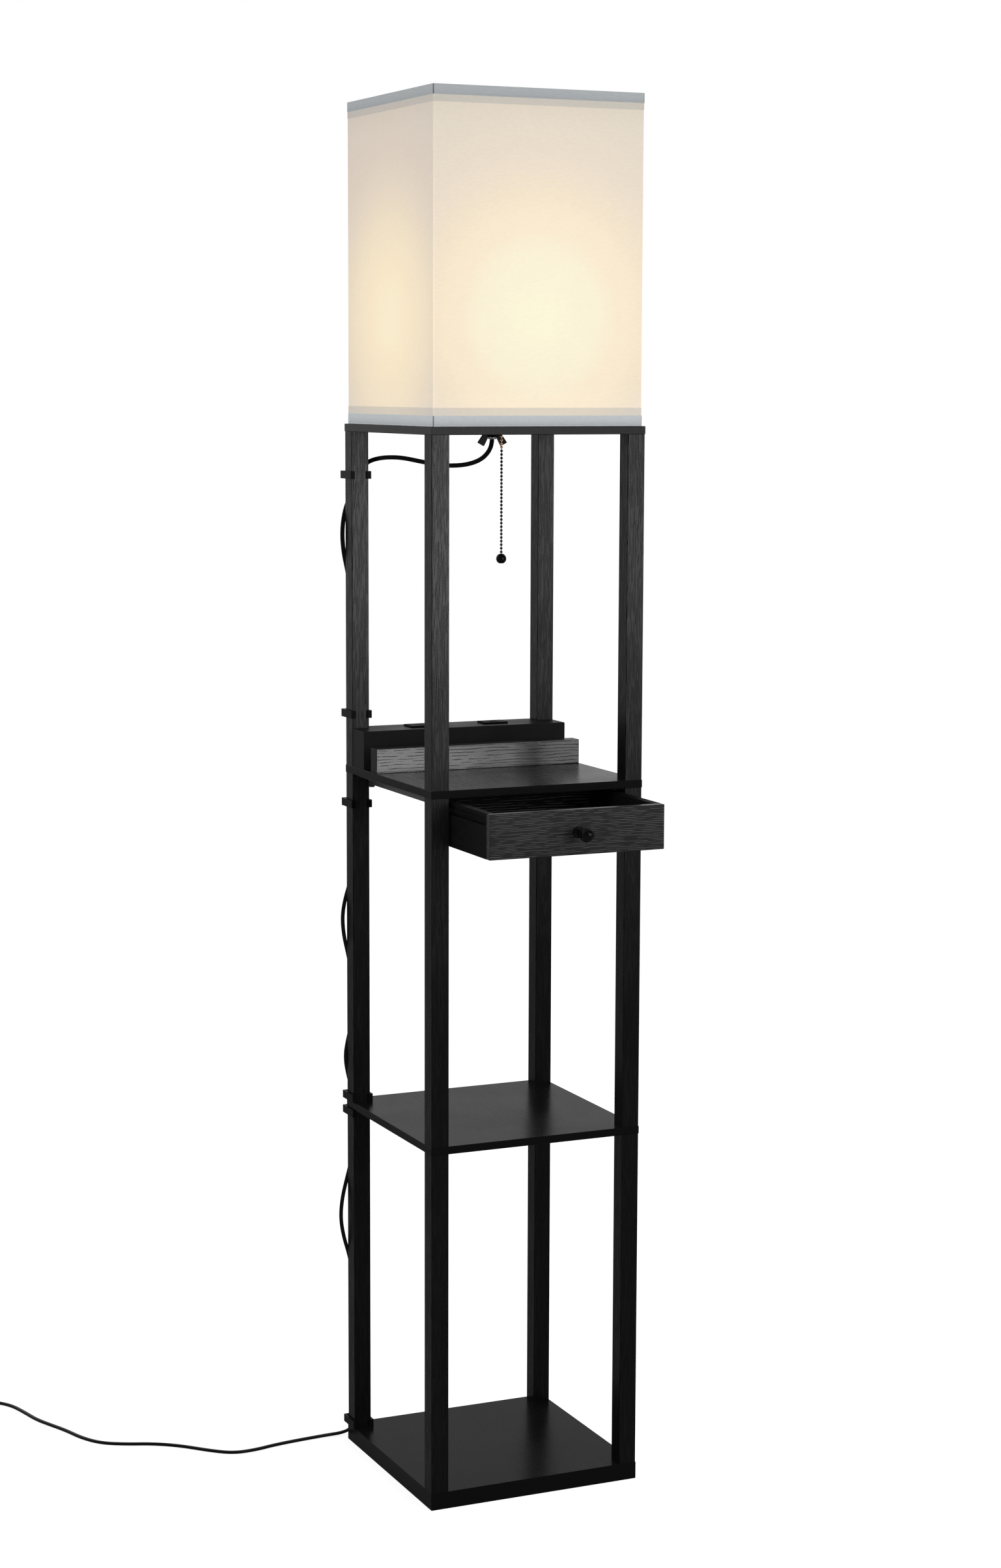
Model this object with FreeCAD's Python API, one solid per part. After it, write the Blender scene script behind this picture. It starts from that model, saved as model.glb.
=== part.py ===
import FreeCAD, Part
import math
import os

# Shelf floor lamp: an open tower of four boards on twelve square posts, a drawer and a
# charging box in the middle, and a square fabric shade with a pull-chain lamp on top.
# Millimetres, +Z up, front towards -Y. The origin is the centre of the base board's underside.

Vec = FreeCAD.Vector
X_AXIS = Vec(1, 0, 0)
Y_AXIS = Vec(0, 1, 0)
Z_AXIS = Vec(0, 0, 1)

# ---- boards and posts ----
board_side = 260.0
base_thickness = 20.0
shelf_thickness = 9.0
board_chamfer = 0.5
post_size = 21.0
post_inset = 0.5
post_fillet = 0.8
lower_post_length = 394.0
middle_post_length = 394.0
upper_post_length = 390.0

# ---- fasteners of the tower ----
screw_clearance = 0.05
post_screw_length = 52.0
post_screw_radius = 2.2
post_screw_head_radius = 4.5
base_screw_recess = 0.4
stud_radius = 3.0
stud_length = 44.0
stud_below_shelf = 17.0
stud_hole_clearance = 0.3
insert_radius = 5.0
insert_length = 20.0

# ---- drawer ----
drawer_post_gap = 3.0        # between the drawer's side and each post's inner face
drawer_depth = 180.0
drawer_height = 50.0
drawer_wall = 9.0
drawer_drop = 4.5            # gap between the shelf's underside and the drawer's top edge
drawer_out = 103.5           # how far the drawer stands open
drawer_bottom_thickness = 3.0
drawer_bottom_lift = 3.0
panel_groove_depth = 4.0
panel_groove_play = 0.1
slide_groove_height = 9.5
slide_groove_depth = 4.2
slide_groove_drop = 4.0      # from the drawer's top edge down to the groove
slide_groove_start = 11.0    # from the front face back to the groove's round end
dowel_radius = 2.5
dowel_length = 18.0
dowel_in_panel = 5.5
dowel_heights = (14.5, 28.0)

# ---- knob ----
knob_ball_radius = 8.5
knob_ball_reach = 22.5
knob_base_radius = 6.5
knob_base_length = 2.0
knob_neck_radius = 4.0
knob_screw_radius = 2.0
knob_screw_head_radius = 4.0
knob_screw_head_height = 2.2
knob_screw_bite = 14.0
knob_bore_play = 0.15

# ---- drawer runners ----
runner_web = 3.0
runner_side_gap = 0.8        # between the web and the drawer's side
runner_height = 12.4
runner_flange_width = 14.5
runner_flange = 2.5
runner_lip = 3.6
runner_lip_play = 0.3        # between the lip's top and the groove's top
runner_lip_reach = 4.2
runner_end_gap = 0.2
runner_lip_lead = 6.0        # the lip's length in front of the web
runner_tab_length = 6.0
runner_tab_drop = 3.6
runner_screw_length = 8.5
runner_screw_radius = 1.5
runner_screw_head_radius = 3.0
runner_screw_places = (-80.0, 0.0, 80.0)

# ---- charging box and stand bar ----
box_side_inset = 1.0
box_front = 74.0
box_height = 44.5
box_wall = 2.5
box_base_thickness = 2.0
box_post_gap = 0.3
box_edge_fillet = 1.0
bar_front = 34.0
bar_depth = 18.5
bar_height = 28.4
shelf_screw_length = 22.0
shelf_screw_radius = 1.8
shelf_screw_head_radius = 3.6
bar_screw_places = (-90.0, 0.0, 90.0)
boss_radius = 4.5
boss_places = ((-100.0, 84.0), (100.0, 84.0), (-88.0, 119.0), (88.0, 119.0))

module_y = 102.0
module_lip = 2.0
module_fit = 0.15
outlet_x = -39.5
outlet_width = 45.0
outlet_depth = 25.0
outlet_body_width = 41.0
outlet_body_depth = 21.0
outlet_body_height = 24.0
blade_slot_spacing = 12.7
blade_slot_width = 1.8
blade_slot_length = 7.6
blade_slot_depth = 18.0
contact_thickness = 0.5
contact_height = 12.0
contact_inset = 0.5          # from each end of the slot
usb_x = 47.0
usb_width = 30.0
usb_depth = 22.0
usb_body_width = 26.0
usb_body_depth = 18.0
usb_body_height = 16.0
usb_port_width = 12.4
usb_port_height = 4.6
usb_port_depth = 11.0
usb_port_offset = 4.4
usb_tongue_thickness = 1.8
usb_tongue_inset = 1.0
board_length = 58.0
board_width = 34.0
board_thickness = 1.6
standoff_radius = 2.6
standoff_height = 10.0
standoff_inset = 4.0
transformer_size = (18.0, 16.0, 14.0)

# ---- lampholder, on the tower's axis ----
nipple_radius = 4.8
nipple_bore = 3.0
nipple_below_board = 7.2
nipple_length = 27.0
nipple_fit = 0.06
board_hole_clearance = 0.25
wing_hub_radius = 8.7
wing_hub_height = 5.0
wing_hub_end_radius = 5.7
wing_hub_rim = 1.0
wing_thickness = 3.5
wing_root_reach = 10.0
wing_tip_reach = 17.9
wing_tip_drop = 11.2
wing_toe_reach = 10.8
wing_toe_drop = 15.0
wing_inner_reach = 5.5
wing_root_depth = 2.0        # how far the wings run into the hub
fitter_radius = 12.0
fitter_thickness = 1.5
cap_radius = 20.5
cap_height = 14.0
cap_wall = 1.5
shell_wall = 1.2
shell_height = 46.0
shell_overlap = 5.0
shell_fit = 0.2
body_fit = 0.2
body_lift = 6.5
body_height = 24.0
screw_shell_radius = 13.7
screw_shell_wall = 0.5
screw_shell_height = 26.0
centre_contact_radius = 4.0
centre_contact_height = 1.5
bulb_cap_radius = 12.9
bulb_cap_height = 26.0
bulb_cap_lift = 0.2
bulb_button_radius = 3.5
bulb_button_height = 4.0
bulb_neck_radius = 13.4
bulb_shoulder_angle = -38.0  # where the neck's curve meets the globe, from level
bulb_neck_waist = 1.8
bulb_radius = 30.0
bulb_centre_height = 55.0    # globe centre above the top of the metal cap
bulb_wall = 0.8

# ---- pull chain ----
chain_x = 5.5
chain_y = -14.0
bead_radius = 1.6
bead_pitch = 4.1
bead_link_radius = 0.45
ball_eye_gap = 0.2           # between the last bead and the ball
upper_bead_count = 6
lower_bead_count = 33
first_lower_bead = 3.9       # below the top board's underside
chain_split_gap = 0.4
chain_hole_radius = 2.9
pull_ball_radius = 5.9
pull_ball_foot = 2.6
plunger_size = 4.0
plunger_height = 9.0
plunger_lift = 3.0           # from the holder's foot up to the plunger's
plunger_inset = 1.0          # its centre stands this much nearer the middle than the chain
plunger_fit = 0.3
plunger_pocket_height = 13.0

# ---- shade ----
shade_side = 254.0
shade_height = 365.0
shade_wall = 1.0
shade_corner_radius = 3.0
shade_wire_radius = 1.5
shade_wire_gap = 0.2
shade_top_drop = 4.0
shade_cap_gap = 0.3          # between the frame's arms and the lampholder's cap

# ---- cable clips on the rear left post ----
clip_height = 9.0
clip_arm = 2.4
clip_plate = 1.9
clip_channel = 6.8
clip_hook_thickness = 2.5
clip_hook_width = 3.0
clip_under_top = 45.5        # from the top board's underside to the first clip's top
clip_over_box = 12.0
clip_under_drawer_shelf = 31.3

# ---- cords ----
cord_diameter = 4.4
cord_bend_share = 0.45
cord_floor = cord_diameter / 2
relief_block = (12.0, 9.4, 12.0)
relief_length = 24.0
relief_root_radius = 3.9
relief_tip_radius = 2.7
mains_relief_x = -98.0
mains_relief_lift = 10.0      # from the shelf's top up to its block's foot
lead_grommet_x = -92.0
lead_grommet_lift = 26.0
lead_y = 134.2
coil_outer_radius = 34.0
coil_pitch = 5.0
coil_turns_per_layer = 3.25
coil_layer_rise = 5.4
coil_entry_x = -540.0
coil_entry_y = 437.0
plug_relief_length = 24.0
plug_relief_tip_radius = 2.6
plug_relief_root_radius = 4.6
plug_width = 24.0
plug_length = 30.0
plug_fillet = 3.0
plug_blade_width = 6.4
plug_blade_thickness = 1.5
plug_blade_reach = 17.5
plug_blade_bite = 8.0
plug_blade_spacing = 12.7

# ---- heights and planes that follow from the sizes above ----
base_top = base_thickness
middle_bottom = base_top + lower_post_length
middle_top = middle_bottom + shelf_thickness
drawer_shelf_bottom = middle_top + middle_post_length
drawer_shelf_top = drawer_shelf_bottom + shelf_thickness
top_bottom = drawer_shelf_top + upper_post_length
top_top = top_bottom + shelf_thickness
board_half = board_side / 2
post_half = post_size / 2
post_centre = board_half - post_inset - post_half
post_outer = post_centre + post_half
post_inner = post_centre - post_half
corner_signs = ((-1, -1), (1, -1), (-1, 1), (1, 1))
corner_names = ("front_left", "front_right", "rear_left", "rear_right")

nodes = {}


# ---- small shape helpers ----
def block(x0, x1, y0, y1, z0, z1):
    low = Vec(min(x0, x1), min(y0, y1), min(z0, z1))
    return Part.makeBox(abs(x1 - x0), abs(y1 - y0), abs(z1 - z0), low)


def rod(x, y, z0, z1, radius):
    return Part.makeCylinder(radius, z1 - z0, Vec(x, y, z0), Z_AXIS)


def pipe_between(start, end, radius):
    way = end - start
    return Part.makeCylinder(radius, way.Length, start, way)


def turned(profile, base, axis=Z_AXIS):
    """Solid of revolution: profile holds (radius, height) pairs, turned about axis at base."""
    points = [Vec(r, 0, h) for r, h in profile]
    face = Part.Face(Part.makePolygon(points + [points[0]]))
    solid = face.revolve(Vec(0, 0, 0), Z_AXIS, 360)
    solid.Placement = FreeCAD.Placement(base, FreeCAD.Rotation(Z_AXIS, axis))
    return solid


def extruded(points, way):
    return Part.Face(Part.makePolygon(points + [points[0]])).extrude(way)


def vertical_edges(shape):
    chosen = []
    for edge in shape.Edges:
        start, end = edge.Vertexes[0].Point, edge.Vertexes[-1].Point
        if abs(start.x - end.x) < 1e-6 and abs(start.y - end.y) < 1e-6:
            chosen.append(edge)
    return chosen


def mirrored_x(shape):
    return shape.mirror(Vec(0, 0, 0), X_AXIS)


# ---- screws ----
def screw(base, way, length, radius, head_radius):
    """Countersunk screw: base is the middle of its head's face and way points along the shank."""
    head_height = head_radius - radius
    tip_height = 2 * radius
    body = turned([(0, 0), (head_radius, 0), (radius, head_height), (radius, length - tip_height),
                   (0.3, length), (0, length)], base, way)
    recess_width = 0.35 * head_radius
    recess_length = 1.2 * head_radius
    recess_depth = 0.7 * head_height
    cross = block(-recess_length / 2, recess_length / 2, -recess_width / 2, recess_width / 2, 0, recess_depth)
    cross = cross.fuse(block(-recess_width / 2, recess_width / 2, -recess_length / 2, recess_length / 2,
                             0, recess_depth))
    cross.Placement = FreeCAD.Placement(base, FreeCAD.Rotation(Z_AXIS, way))
    return body.cut(cross)


def screw_hole(base, way, length, radius, head_radius):
    """Countersunk hole that the screw above sits in, a little larger all round."""
    play = screw_clearance
    head_height = head_radius - radius
    return turned([(0, -1), (head_radius + play, -1), (head_radius + play, 0), (radius + play, head_height),
                   (radius + play, length + play), (0, length + play)], base, way)


base_screw_spots = [(Vec(sx * post_centre, sy * post_centre, base_screw_recess), Z_AXIS)
                    for sx, sy in corner_signs]
top_screw_spots = [(Vec(sx * post_centre, sy * post_centre, top_top), -Z_AXIS) for sx, sy in corner_signs]


def post_screw_holes(spots):
    return [screw_hole(p, w, post_screw_length, post_screw_radius, post_screw_head_radius) for p, w in spots]


# ---- boards ----
def plain_board(z0, thickness):
    slab = block(-board_half, board_half, -board_half, board_half, z0, z0 + thickness)
    return slab.makeChamfer(board_chamfer, slab.Edges)


def stud_holes(z0, thickness):
    radius = stud_radius + stud_hole_clearance
    return [rod(sx * post_centre, sy * post_centre, z0 - 1, z0 + thickness + 1, radius)
            for sx, sy in corner_signs]


drawer_half = post_inner - drawer_post_gap
runner_centre_x = -(drawer_half + runner_side_gap + runner_web + runner_flange_width / 2)
runner_screw_spots = []
for side in (1, -1):
    for place in runner_screw_places:
        spot = Vec(side * runner_centre_x, place, drawer_shelf_bottom - runner_flange)
        runner_screw_spots.append((spot, Z_AXIS))
box_screw_spots = [(Vec(x, y, drawer_shelf_bottom), Z_AXIS) for x, y in boss_places]
bar_screw_spots = [(Vec(x, bar_front + bar_depth / 2, drawer_shelf_bottom), Z_AXIS) for x in bar_screw_places]
shelf_screw_spots = box_screw_spots + bar_screw_spots


def shelf_screw_holes(spots):
    return [screw_hole(p, w, shelf_screw_length, shelf_screw_radius, shelf_screw_head_radius)
            for p, w in spots]


def runner_screw_holes():
    return [screw_hole(p, w, runner_screw_length, runner_screw_radius, runner_screw_head_radius)
            for p, w in runner_screw_spots]


nodes["base_board"] = plain_board(0, base_thickness).cut(post_screw_holes(base_screw_spots))
middle_stud_holes = stud_holes(middle_bottom, shelf_thickness)
nodes["middle_shelf"] = plain_board(middle_bottom, shelf_thickness).cut(middle_stud_holes)
shelf_cuts = stud_holes(drawer_shelf_bottom, shelf_thickness) + shelf_screw_holes(shelf_screw_spots)
shelf_cuts += runner_screw_holes()
nodes["drawer_shelf"] = plain_board(drawer_shelf_bottom, shelf_thickness).cut(shelf_cuts)
top_cuts = post_screw_holes(top_screw_spots)
top_cuts.append(rod(0, 0, top_bottom - 1, top_top + 1, nipple_radius + board_hole_clearance))
top_cuts.append(rod(chain_x, chain_y, top_bottom - 1, top_top + 1, chain_hole_radius))
nodes["top_board"] = plain_board(top_bottom, shelf_thickness).cut(top_cuts)


# ---- posts, one tier at a time ----
def post(sx, sy, z0, length):
    x, y = sx * post_centre, sy * post_centre
    stick = block(x - post_half, x + post_half, y - post_half, y + post_half, z0, z0 + length)
    return stick.makeFillet(post_fillet, vertical_edges(stick))


def insert_hole(sx, sy, z_top):
    return rod(sx * post_centre, sy * post_centre, z_top - insert_length, z_top + 1,
               insert_radius + screw_clearance)


def stud_pocket(sx, sy, z_bottom):
    above = stud_length - stud_below_shelf - shelf_thickness
    return rod(sx * post_centre, sy * post_centre, z_bottom - 1, z_bottom + above + 1,
               stud_radius + screw_clearance)


corners = zip(corner_signs, corner_names, base_screw_spots, top_screw_spots)
for (sx, sy), corner, base_spot, top_spot in corners:
    lower = post(sx, sy, base_top, lower_post_length)
    lower_cuts = post_screw_holes([base_spot]) + [insert_hole(sx, sy, middle_bottom)]
    nodes["lower_post_" + corner] = lower.cut(lower_cuts)
    middle = post(sx, sy, middle_top, middle_post_length)
    middle_cuts = [stud_pocket(sx, sy, middle_top), insert_hole(sx, sy, drawer_shelf_bottom)]
    nodes["middle_post_" + corner] = middle.cut(middle_cuts)
    upper = post(sx, sy, drawer_shelf_top, upper_post_length)
    upper_cuts = post_screw_holes([top_spot]) + [stud_pocket(sx, sy, drawer_shelf_top)]
    nodes["upper_post_" + corner] = upper.cut(upper_cuts)

post_screws = [screw(p, w, post_screw_length, post_screw_radius, post_screw_head_radius)
               for p, w in base_screw_spots + top_screw_spots]
nodes["post_screws"] = Part.makeCompound(post_screws)

studs = []
inserts = []
for shelf_bottom in (middle_bottom, drawer_shelf_bottom):
    for sx, sy in corner_signs:
        x, y = sx * post_centre, sy * post_centre
        stud_foot = shelf_bottom - stud_below_shelf
        studs.append(rod(x, y, stud_foot, stud_foot + stud_length, stud_radius))
        sleeve = rod(x, y, shelf_bottom - insert_length, shelf_bottom, insert_radius)
        inserts.append(sleeve.cut(rod(x, y, shelf_bottom - insert_length - 1, shelf_bottom + 1,
                                      stud_radius + screw_clearance)))
nodes["shelf_studs"] = Part.makeCompound(studs)
nodes["post_inserts"] = Part.makeCompound(inserts)

# ---- drawer ----
drawer_top = drawer_shelf_bottom - drawer_drop
drawer_foot = drawer_top - drawer_height
drawer_face = -(post_outer + drawer_out)
drawer_end = drawer_face + drawer_depth
front_back_face = drawer_face + drawer_wall
back_front_face = drawer_end - drawer_wall
inner_half = drawer_half - drawer_wall
panel_bottom = drawer_foot + drawer_bottom_lift
panel_top = panel_bottom + drawer_bottom_thickness
side_middle = drawer_half - drawer_wall / 2
groove_top = drawer_top - slide_groove_drop
groove_bottom = groove_top - slide_groove_height
groove_start = drawer_face + slide_groove_start

panel_x = inner_half + panel_groove_depth
panel_y0 = front_back_face - panel_groove_depth
panel_y1 = back_front_face + panel_groove_depth
panel_space = block(-panel_x - panel_groove_play, panel_x + panel_groove_play,
                    panel_y0 - panel_groove_play, panel_y1 + panel_groove_play,
                    panel_bottom - panel_groove_play, panel_top + panel_groove_play)


def dowel_spots():
    """Dowels: two at each end of each side, into the front along Y and into the back along X."""
    spots = []
    for sign in (-1, 1):
        for lift in dowel_heights:
            front_start = Vec(sign * side_middle, front_back_face - dowel_in_panel, drawer_foot + lift)
            spots.append((front_start, Y_AXIS))
            back_start = Vec(sign * (inner_half + dowel_in_panel), (back_front_face + drawer_end) / 2,
                             drawer_foot + lift)
            spots.append((back_start, X_AXIS * -sign))
    return spots


def dowel_holes():
    return [Part.makeCylinder(dowel_radius + screw_clearance, dowel_length + screw_clearance, p, w)
            for p, w in dowel_spots()]


knob_height = (drawer_top + drawer_foot) / 2
knob_bore = Part.makeCylinder(knob_screw_radius + knob_bore_play, drawer_wall + 2,
                              Vec(0, drawer_face - 1, knob_height), Y_AXIS)
front_panel = block(-drawer_half, drawer_half, drawer_face, front_back_face, drawer_foot, drawer_top)
front_panel = front_panel.makeChamfer(board_chamfer, front_panel.Edges)
nodes["drawer_front"] = front_panel.cut(dowel_holes() + [panel_space, knob_bore])

groove_radius = slide_groove_height / 2
groove_depth_x0 = -drawer_half - 1
groove_depth_x1 = -drawer_half + slide_groove_depth
slide_groove = block(groove_depth_x0, groove_depth_x1, groove_start + groove_radius, drawer_end + 1,
                     groove_bottom, groove_top)
slide_groove = slide_groove.fuse(Part.makeCylinder(
    groove_radius, groove_depth_x1 - groove_depth_x0,
    Vec(groove_depth_x0, groove_start + groove_radius, groove_bottom + groove_radius), X_AXIS))
left_side = block(-drawer_half, -inner_half, front_back_face, drawer_end, drawer_foot, drawer_top)
left_side = left_side.cut([slide_groove, panel_space] + dowel_holes())
nodes["drawer_left_side"] = left_side
nodes["drawer_right_side"] = mirrored_x(left_side)
back_panel = block(-inner_half, inner_half, back_front_face, drawer_end, drawer_foot, drawer_top)
nodes["drawer_back"] = back_panel.cut([panel_space] + dowel_holes())
nodes["drawer_bottom"] = block(-panel_x, panel_x, panel_y0, panel_y1, panel_bottom, panel_top)
nodes["drawer_dowels"] = Part.makeCompound(
    [Part.makeCylinder(dowel_radius, dowel_length, p, w) for p, w in dowel_spots()])

knob_base_centre = Vec(0, drawer_face, knob_height)
ball = Part.makeSphere(knob_ball_radius, Vec(0, drawer_face - knob_ball_reach, knob_height))
neck = turned([(0, 0), (knob_base_radius, 0), (knob_base_radius, knob_base_length),
               (knob_neck_radius, 2.5 * knob_base_length), (knob_neck_radius, knob_ball_reach),
               (0, knob_ball_reach)], knob_base_centre, -Y_AXIS)
knob_thread = Part.makeCylinder(knob_screw_radius + screw_clearance, knob_screw_bite + 0.5,
                                knob_base_centre, -Y_AXIS)
nodes["drawer_knob"] = ball.fuse(neck).removeSplitter().cut(knob_thread)
nodes["knob_screw"] = turned(
    [(0, 0), (knob_screw_head_radius, 0), (knob_screw_head_radius, knob_screw_head_height),
     (knob_screw_radius, knob_screw_head_height),
     (knob_screw_radius, knob_screw_head_height + drawer_wall + knob_screw_bite),
     (0, knob_screw_head_height + drawer_wall + knob_screw_bite)],
    Vec(0, front_back_face + knob_screw_head_height, knob_height), -Y_AXIS)

# ---- runners: a flange under the shelf, a web beside the drawer and a lip in its groove ----
web_inner = -(drawer_half + runner_side_gap)
web_outer = web_inner - runner_web
runner_bottom = drawer_shelf_bottom - runner_height
lip_top = groove_top - runner_lip_play
lip_bottom = lip_top - runner_lip
runner_reach = post_inner - runner_end_gap
left_runner = block(web_outer, web_inner, -runner_reach, runner_reach, lip_bottom, drawer_shelf_bottom)
left_runner = left_runner.fuse([
    block(web_outer - runner_flange_width, web_outer, -runner_reach, runner_reach,
          drawer_shelf_bottom - runner_flange, drawer_shelf_bottom),
    block(web_inner, web_inner + runner_lip_reach, -runner_reach - runner_lip_lead, runner_reach,
          lip_bottom, lip_top),
    block(web_outer, web_inner + runner_lip_reach / 2, runner_reach - runner_tab_length, runner_reach,
          lip_bottom - runner_tab_drop, lip_bottom)]).removeSplitter()
left_runner = left_runner.cut(runner_screw_holes())
nodes["left_runner"] = left_runner
nodes["right_runner"] = mirrored_x(left_runner)
nodes["runner_screws"] = Part.makeCompound(
    [screw(p, w, runner_screw_length, runner_screw_radius, runner_screw_head_radius)
     for p, w in runner_screw_spots])

# ---- charging box: a shell with its rear corners cut out round the posts ----
box_half = board_half - box_side_inset
box_back = board_half - box_side_inset
box_top = drawer_shelf_top + box_height
notch = post_inner - box_post_gap


def notched_outline(inset, z):
    half = box_half - inset
    front = box_front + inset
    back = box_back - inset
    corner = notch - inset
    return [Vec(-half, front, z), Vec(half, front, z), Vec(half, corner, z), Vec(corner, corner, z),
            Vec(corner, back, z), Vec(-corner, back, z), Vec(-corner, corner, z), Vec(-half, corner, z)]


def module_block(x, width, depth, z0, z1):
    return block(x - width / 2, x + width / 2, module_y - depth / 2, module_y + depth / 2, z0, z1)


housing = extruded(notched_outline(0, drawer_shelf_top), Vec(0, 0, box_height))
top_edges = [e for e in housing.Edges if min(v.Z for v in e.Vertexes) > box_top - 1e-6]
housing = housing.makeFillet(box_edge_fillet, top_edges)
box_inside = extruded(notched_outline(box_wall, drawer_shelf_top - 1), Vec(0, 0, box_height - box_wall + 1))
housing = housing.cut(box_inside)
bosses = [rod(x, y, drawer_shelf_top + box_base_thickness, box_top - box_wall / 2, boss_radius)
          for x, y in boss_places]
housing = housing.fuse(bosses).removeSplitter()
housing = housing.cut(shelf_screw_holes(box_screw_spots) + [
    module_block(outlet_x, outlet_body_width + 2 * module_fit, outlet_body_depth + 2 * module_fit,
                 box_top - box_wall - 1, box_top + 1),
    module_block(usb_x, usb_body_width + 2 * module_fit, usb_body_depth + 2 * module_fit,
                 box_top - box_wall - 1, box_top + 1)])
nodes["charger_housing"] = housing

box_floor = extruded(notched_outline(box_wall + module_fit, drawer_shelf_top), Vec(0, 0, box_base_thickness))
board_centre_y = (box_front + box_back) / 2
standoff_spots = [(usb_x + sx * (board_length / 2 - standoff_inset),
                   board_centre_y + sy * (board_width / 2 - standoff_inset)) for sx, sy in corner_signs]
floor_top = drawer_shelf_top + box_base_thickness
standoffs = [rod(x, y, floor_top, floor_top + standoff_height, standoff_radius) for x, y in standoff_spots]
box_floor = box_floor.fuse(standoffs).cut(shelf_screw_holes(box_screw_spots))
nodes["charger_base"] = box_floor

outlet = module_block(outlet_x, outlet_body_width, outlet_body_depth, box_top - outlet_body_height, box_top)
outlet = outlet.fuse(module_block(outlet_x, outlet_width, outlet_depth, box_top, box_top + module_lip))
outlet = outlet.removeSplitter()
slot_top = box_top + module_lip
contacts = []
outlet_cuts = []
for sign in (-1, 1):
    slot_x = outlet_x + sign * blade_slot_spacing / 2
    outlet_cuts.append(block(slot_x - blade_slot_width / 2, slot_x + blade_slot_width / 2,
                             module_y - blade_slot_length / 2, module_y + blade_slot_length / 2,
                             slot_top - blade_slot_depth, slot_top + 1))
    leaf_x = slot_x + sign * (blade_slot_width / 2 - contact_thickness)
    contacts.append(block(leaf_x, leaf_x + sign * contact_thickness,
                          module_y - blade_slot_length / 2 + contact_inset,
                          module_y + blade_slot_length / 2 - contact_inset,
                          slot_top - blade_slot_depth, slot_top - blade_slot_depth + contact_height))
nodes["outlet_module"] = outlet.cut(outlet_cuts)
nodes["outlet_contacts"] = Part.makeCompound(contacts)

usb = module_block(usb_x, usb_body_width, usb_body_depth, box_top - usb_body_height, box_top)
usb = usb.fuse(module_block(usb_x, usb_width, usb_depth, box_top, box_top + module_lip)).removeSplitter()
for sign in (-1, 1):
    port_y = module_y + sign * usb_port_offset
    port = block(usb_x - usb_port_width / 2, usb_x + usb_port_width / 2, port_y - usb_port_height / 2,
                 port_y + usb_port_height / 2, slot_top - usb_port_depth, slot_top + 1)
    tongue_half = usb_port_width / 2 - usb_tongue_inset
    tongue_y = port_y - usb_port_height / 2
    tongue = block(usb_x - tongue_half, usb_x + tongue_half, tongue_y, tongue_y + usb_tongue_thickness,
                   slot_top - usb_port_depth, slot_top - usb_tongue_inset)
    usb = usb.cut(port.cut(tongue))
nodes["usb_module"] = usb

board_z = floor_top + standoff_height
circuit = block(usb_x - board_length / 2, usb_x + board_length / 2, board_centre_y - board_width / 2,
                board_centre_y + board_width / 2, board_z, board_z + board_thickness)
part_x, part_y, part_z = transformer_size
circuit = circuit.fuse(block(usb_x - part_x / 2, usb_x + part_x / 2, board_centre_y - part_y / 2,
                             board_centre_y + part_y / 2, board_z + board_thickness,
                             board_z + board_thickness + part_z))
nodes["usb_board"] = circuit

stand_bar = block(-box_half, box_half, bar_front, bar_front + bar_depth, drawer_shelf_top,
                  drawer_shelf_top + bar_height)
stand_bar = stand_bar.makeChamfer(board_chamfer, stand_bar.Edges)
nodes["stand_bar"] = stand_bar.cut(shelf_screw_holes(bar_screw_spots))
nodes["shelf_screws"] = Part.makeCompound(
    [screw(p, w, shelf_screw_length, shelf_screw_radius, shelf_screw_head_radius)
     for p, w in shelf_screw_spots])

# ---- lampholder ----
fitter_top = top_top + fitter_thickness
nipple_foot = top_bottom - nipple_below_board
nipple = rod(0, 0, nipple_foot, nipple_foot + nipple_length, nipple_radius)
nodes["threaded_nipple"] = nipple.cut(rod(0, 0, nipple_foot - 1, nipple_foot + nipple_length + 1,
                                          nipple_bore))

hub = turned([(0, 0), (wing_hub_radius, 0), (wing_hub_radius, wing_hub_rim),
              (wing_hub_end_radius, wing_hub_height), (0, wing_hub_height)], Vec(0, 0, top_bottom), -Z_AXIS)
for sign in (-1, 1):
    root_reach = wing_inner_reach - wing_root_depth
    corners = [(root_reach, 0), (wing_root_reach, 0), (wing_tip_reach, wing_tip_drop),
               (wing_toe_reach, wing_toe_drop), (wing_inner_reach, wing_hub_height),
               (root_reach, wing_hub_height - wing_root_depth / 2)]
    outline = [Vec(sign * reach, -wing_thickness / 2, top_bottom - drop) for reach, drop in corners]
    hub = hub.fuse(extruded(outline, Vec(0, wing_thickness, 0)))
hub = hub.removeSplitter()
nodes["wing_nut"] = hub.cut(rod(0, 0, top_bottom - wing_toe_drop - 1, top_bottom + 1,
                                     nipple_radius + nipple_fit))

cap = turned([(nipple_radius + nipple_fit, 0), (cap_radius, 0), (cap_radius, cap_height),
              (cap_radius - cap_wall, cap_height), (cap_radius - cap_wall, cap_wall),
              (nipple_radius + nipple_fit, cap_wall)], Vec(0, 0, fitter_top))
nodes["socket_cap"] = cap.cut(rod(chain_x, chain_y, fitter_top - 1, fitter_top + cap_wall + 1,
                                  chain_hole_radius))

shell_outer = cap_radius - cap_wall - shell_fit
shell_foot = fitter_top + cap_height - shell_overlap
body_foot = fitter_top + body_lift
body_top = body_foot + body_height
shell_top = shell_foot + shell_height
nodes["socket_shell"] = rod(0, 0, shell_foot, shell_top, shell_outer).cut(
    rod(0, 0, shell_foot - 1, shell_top + 1, shell_outer - shell_wall))

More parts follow.
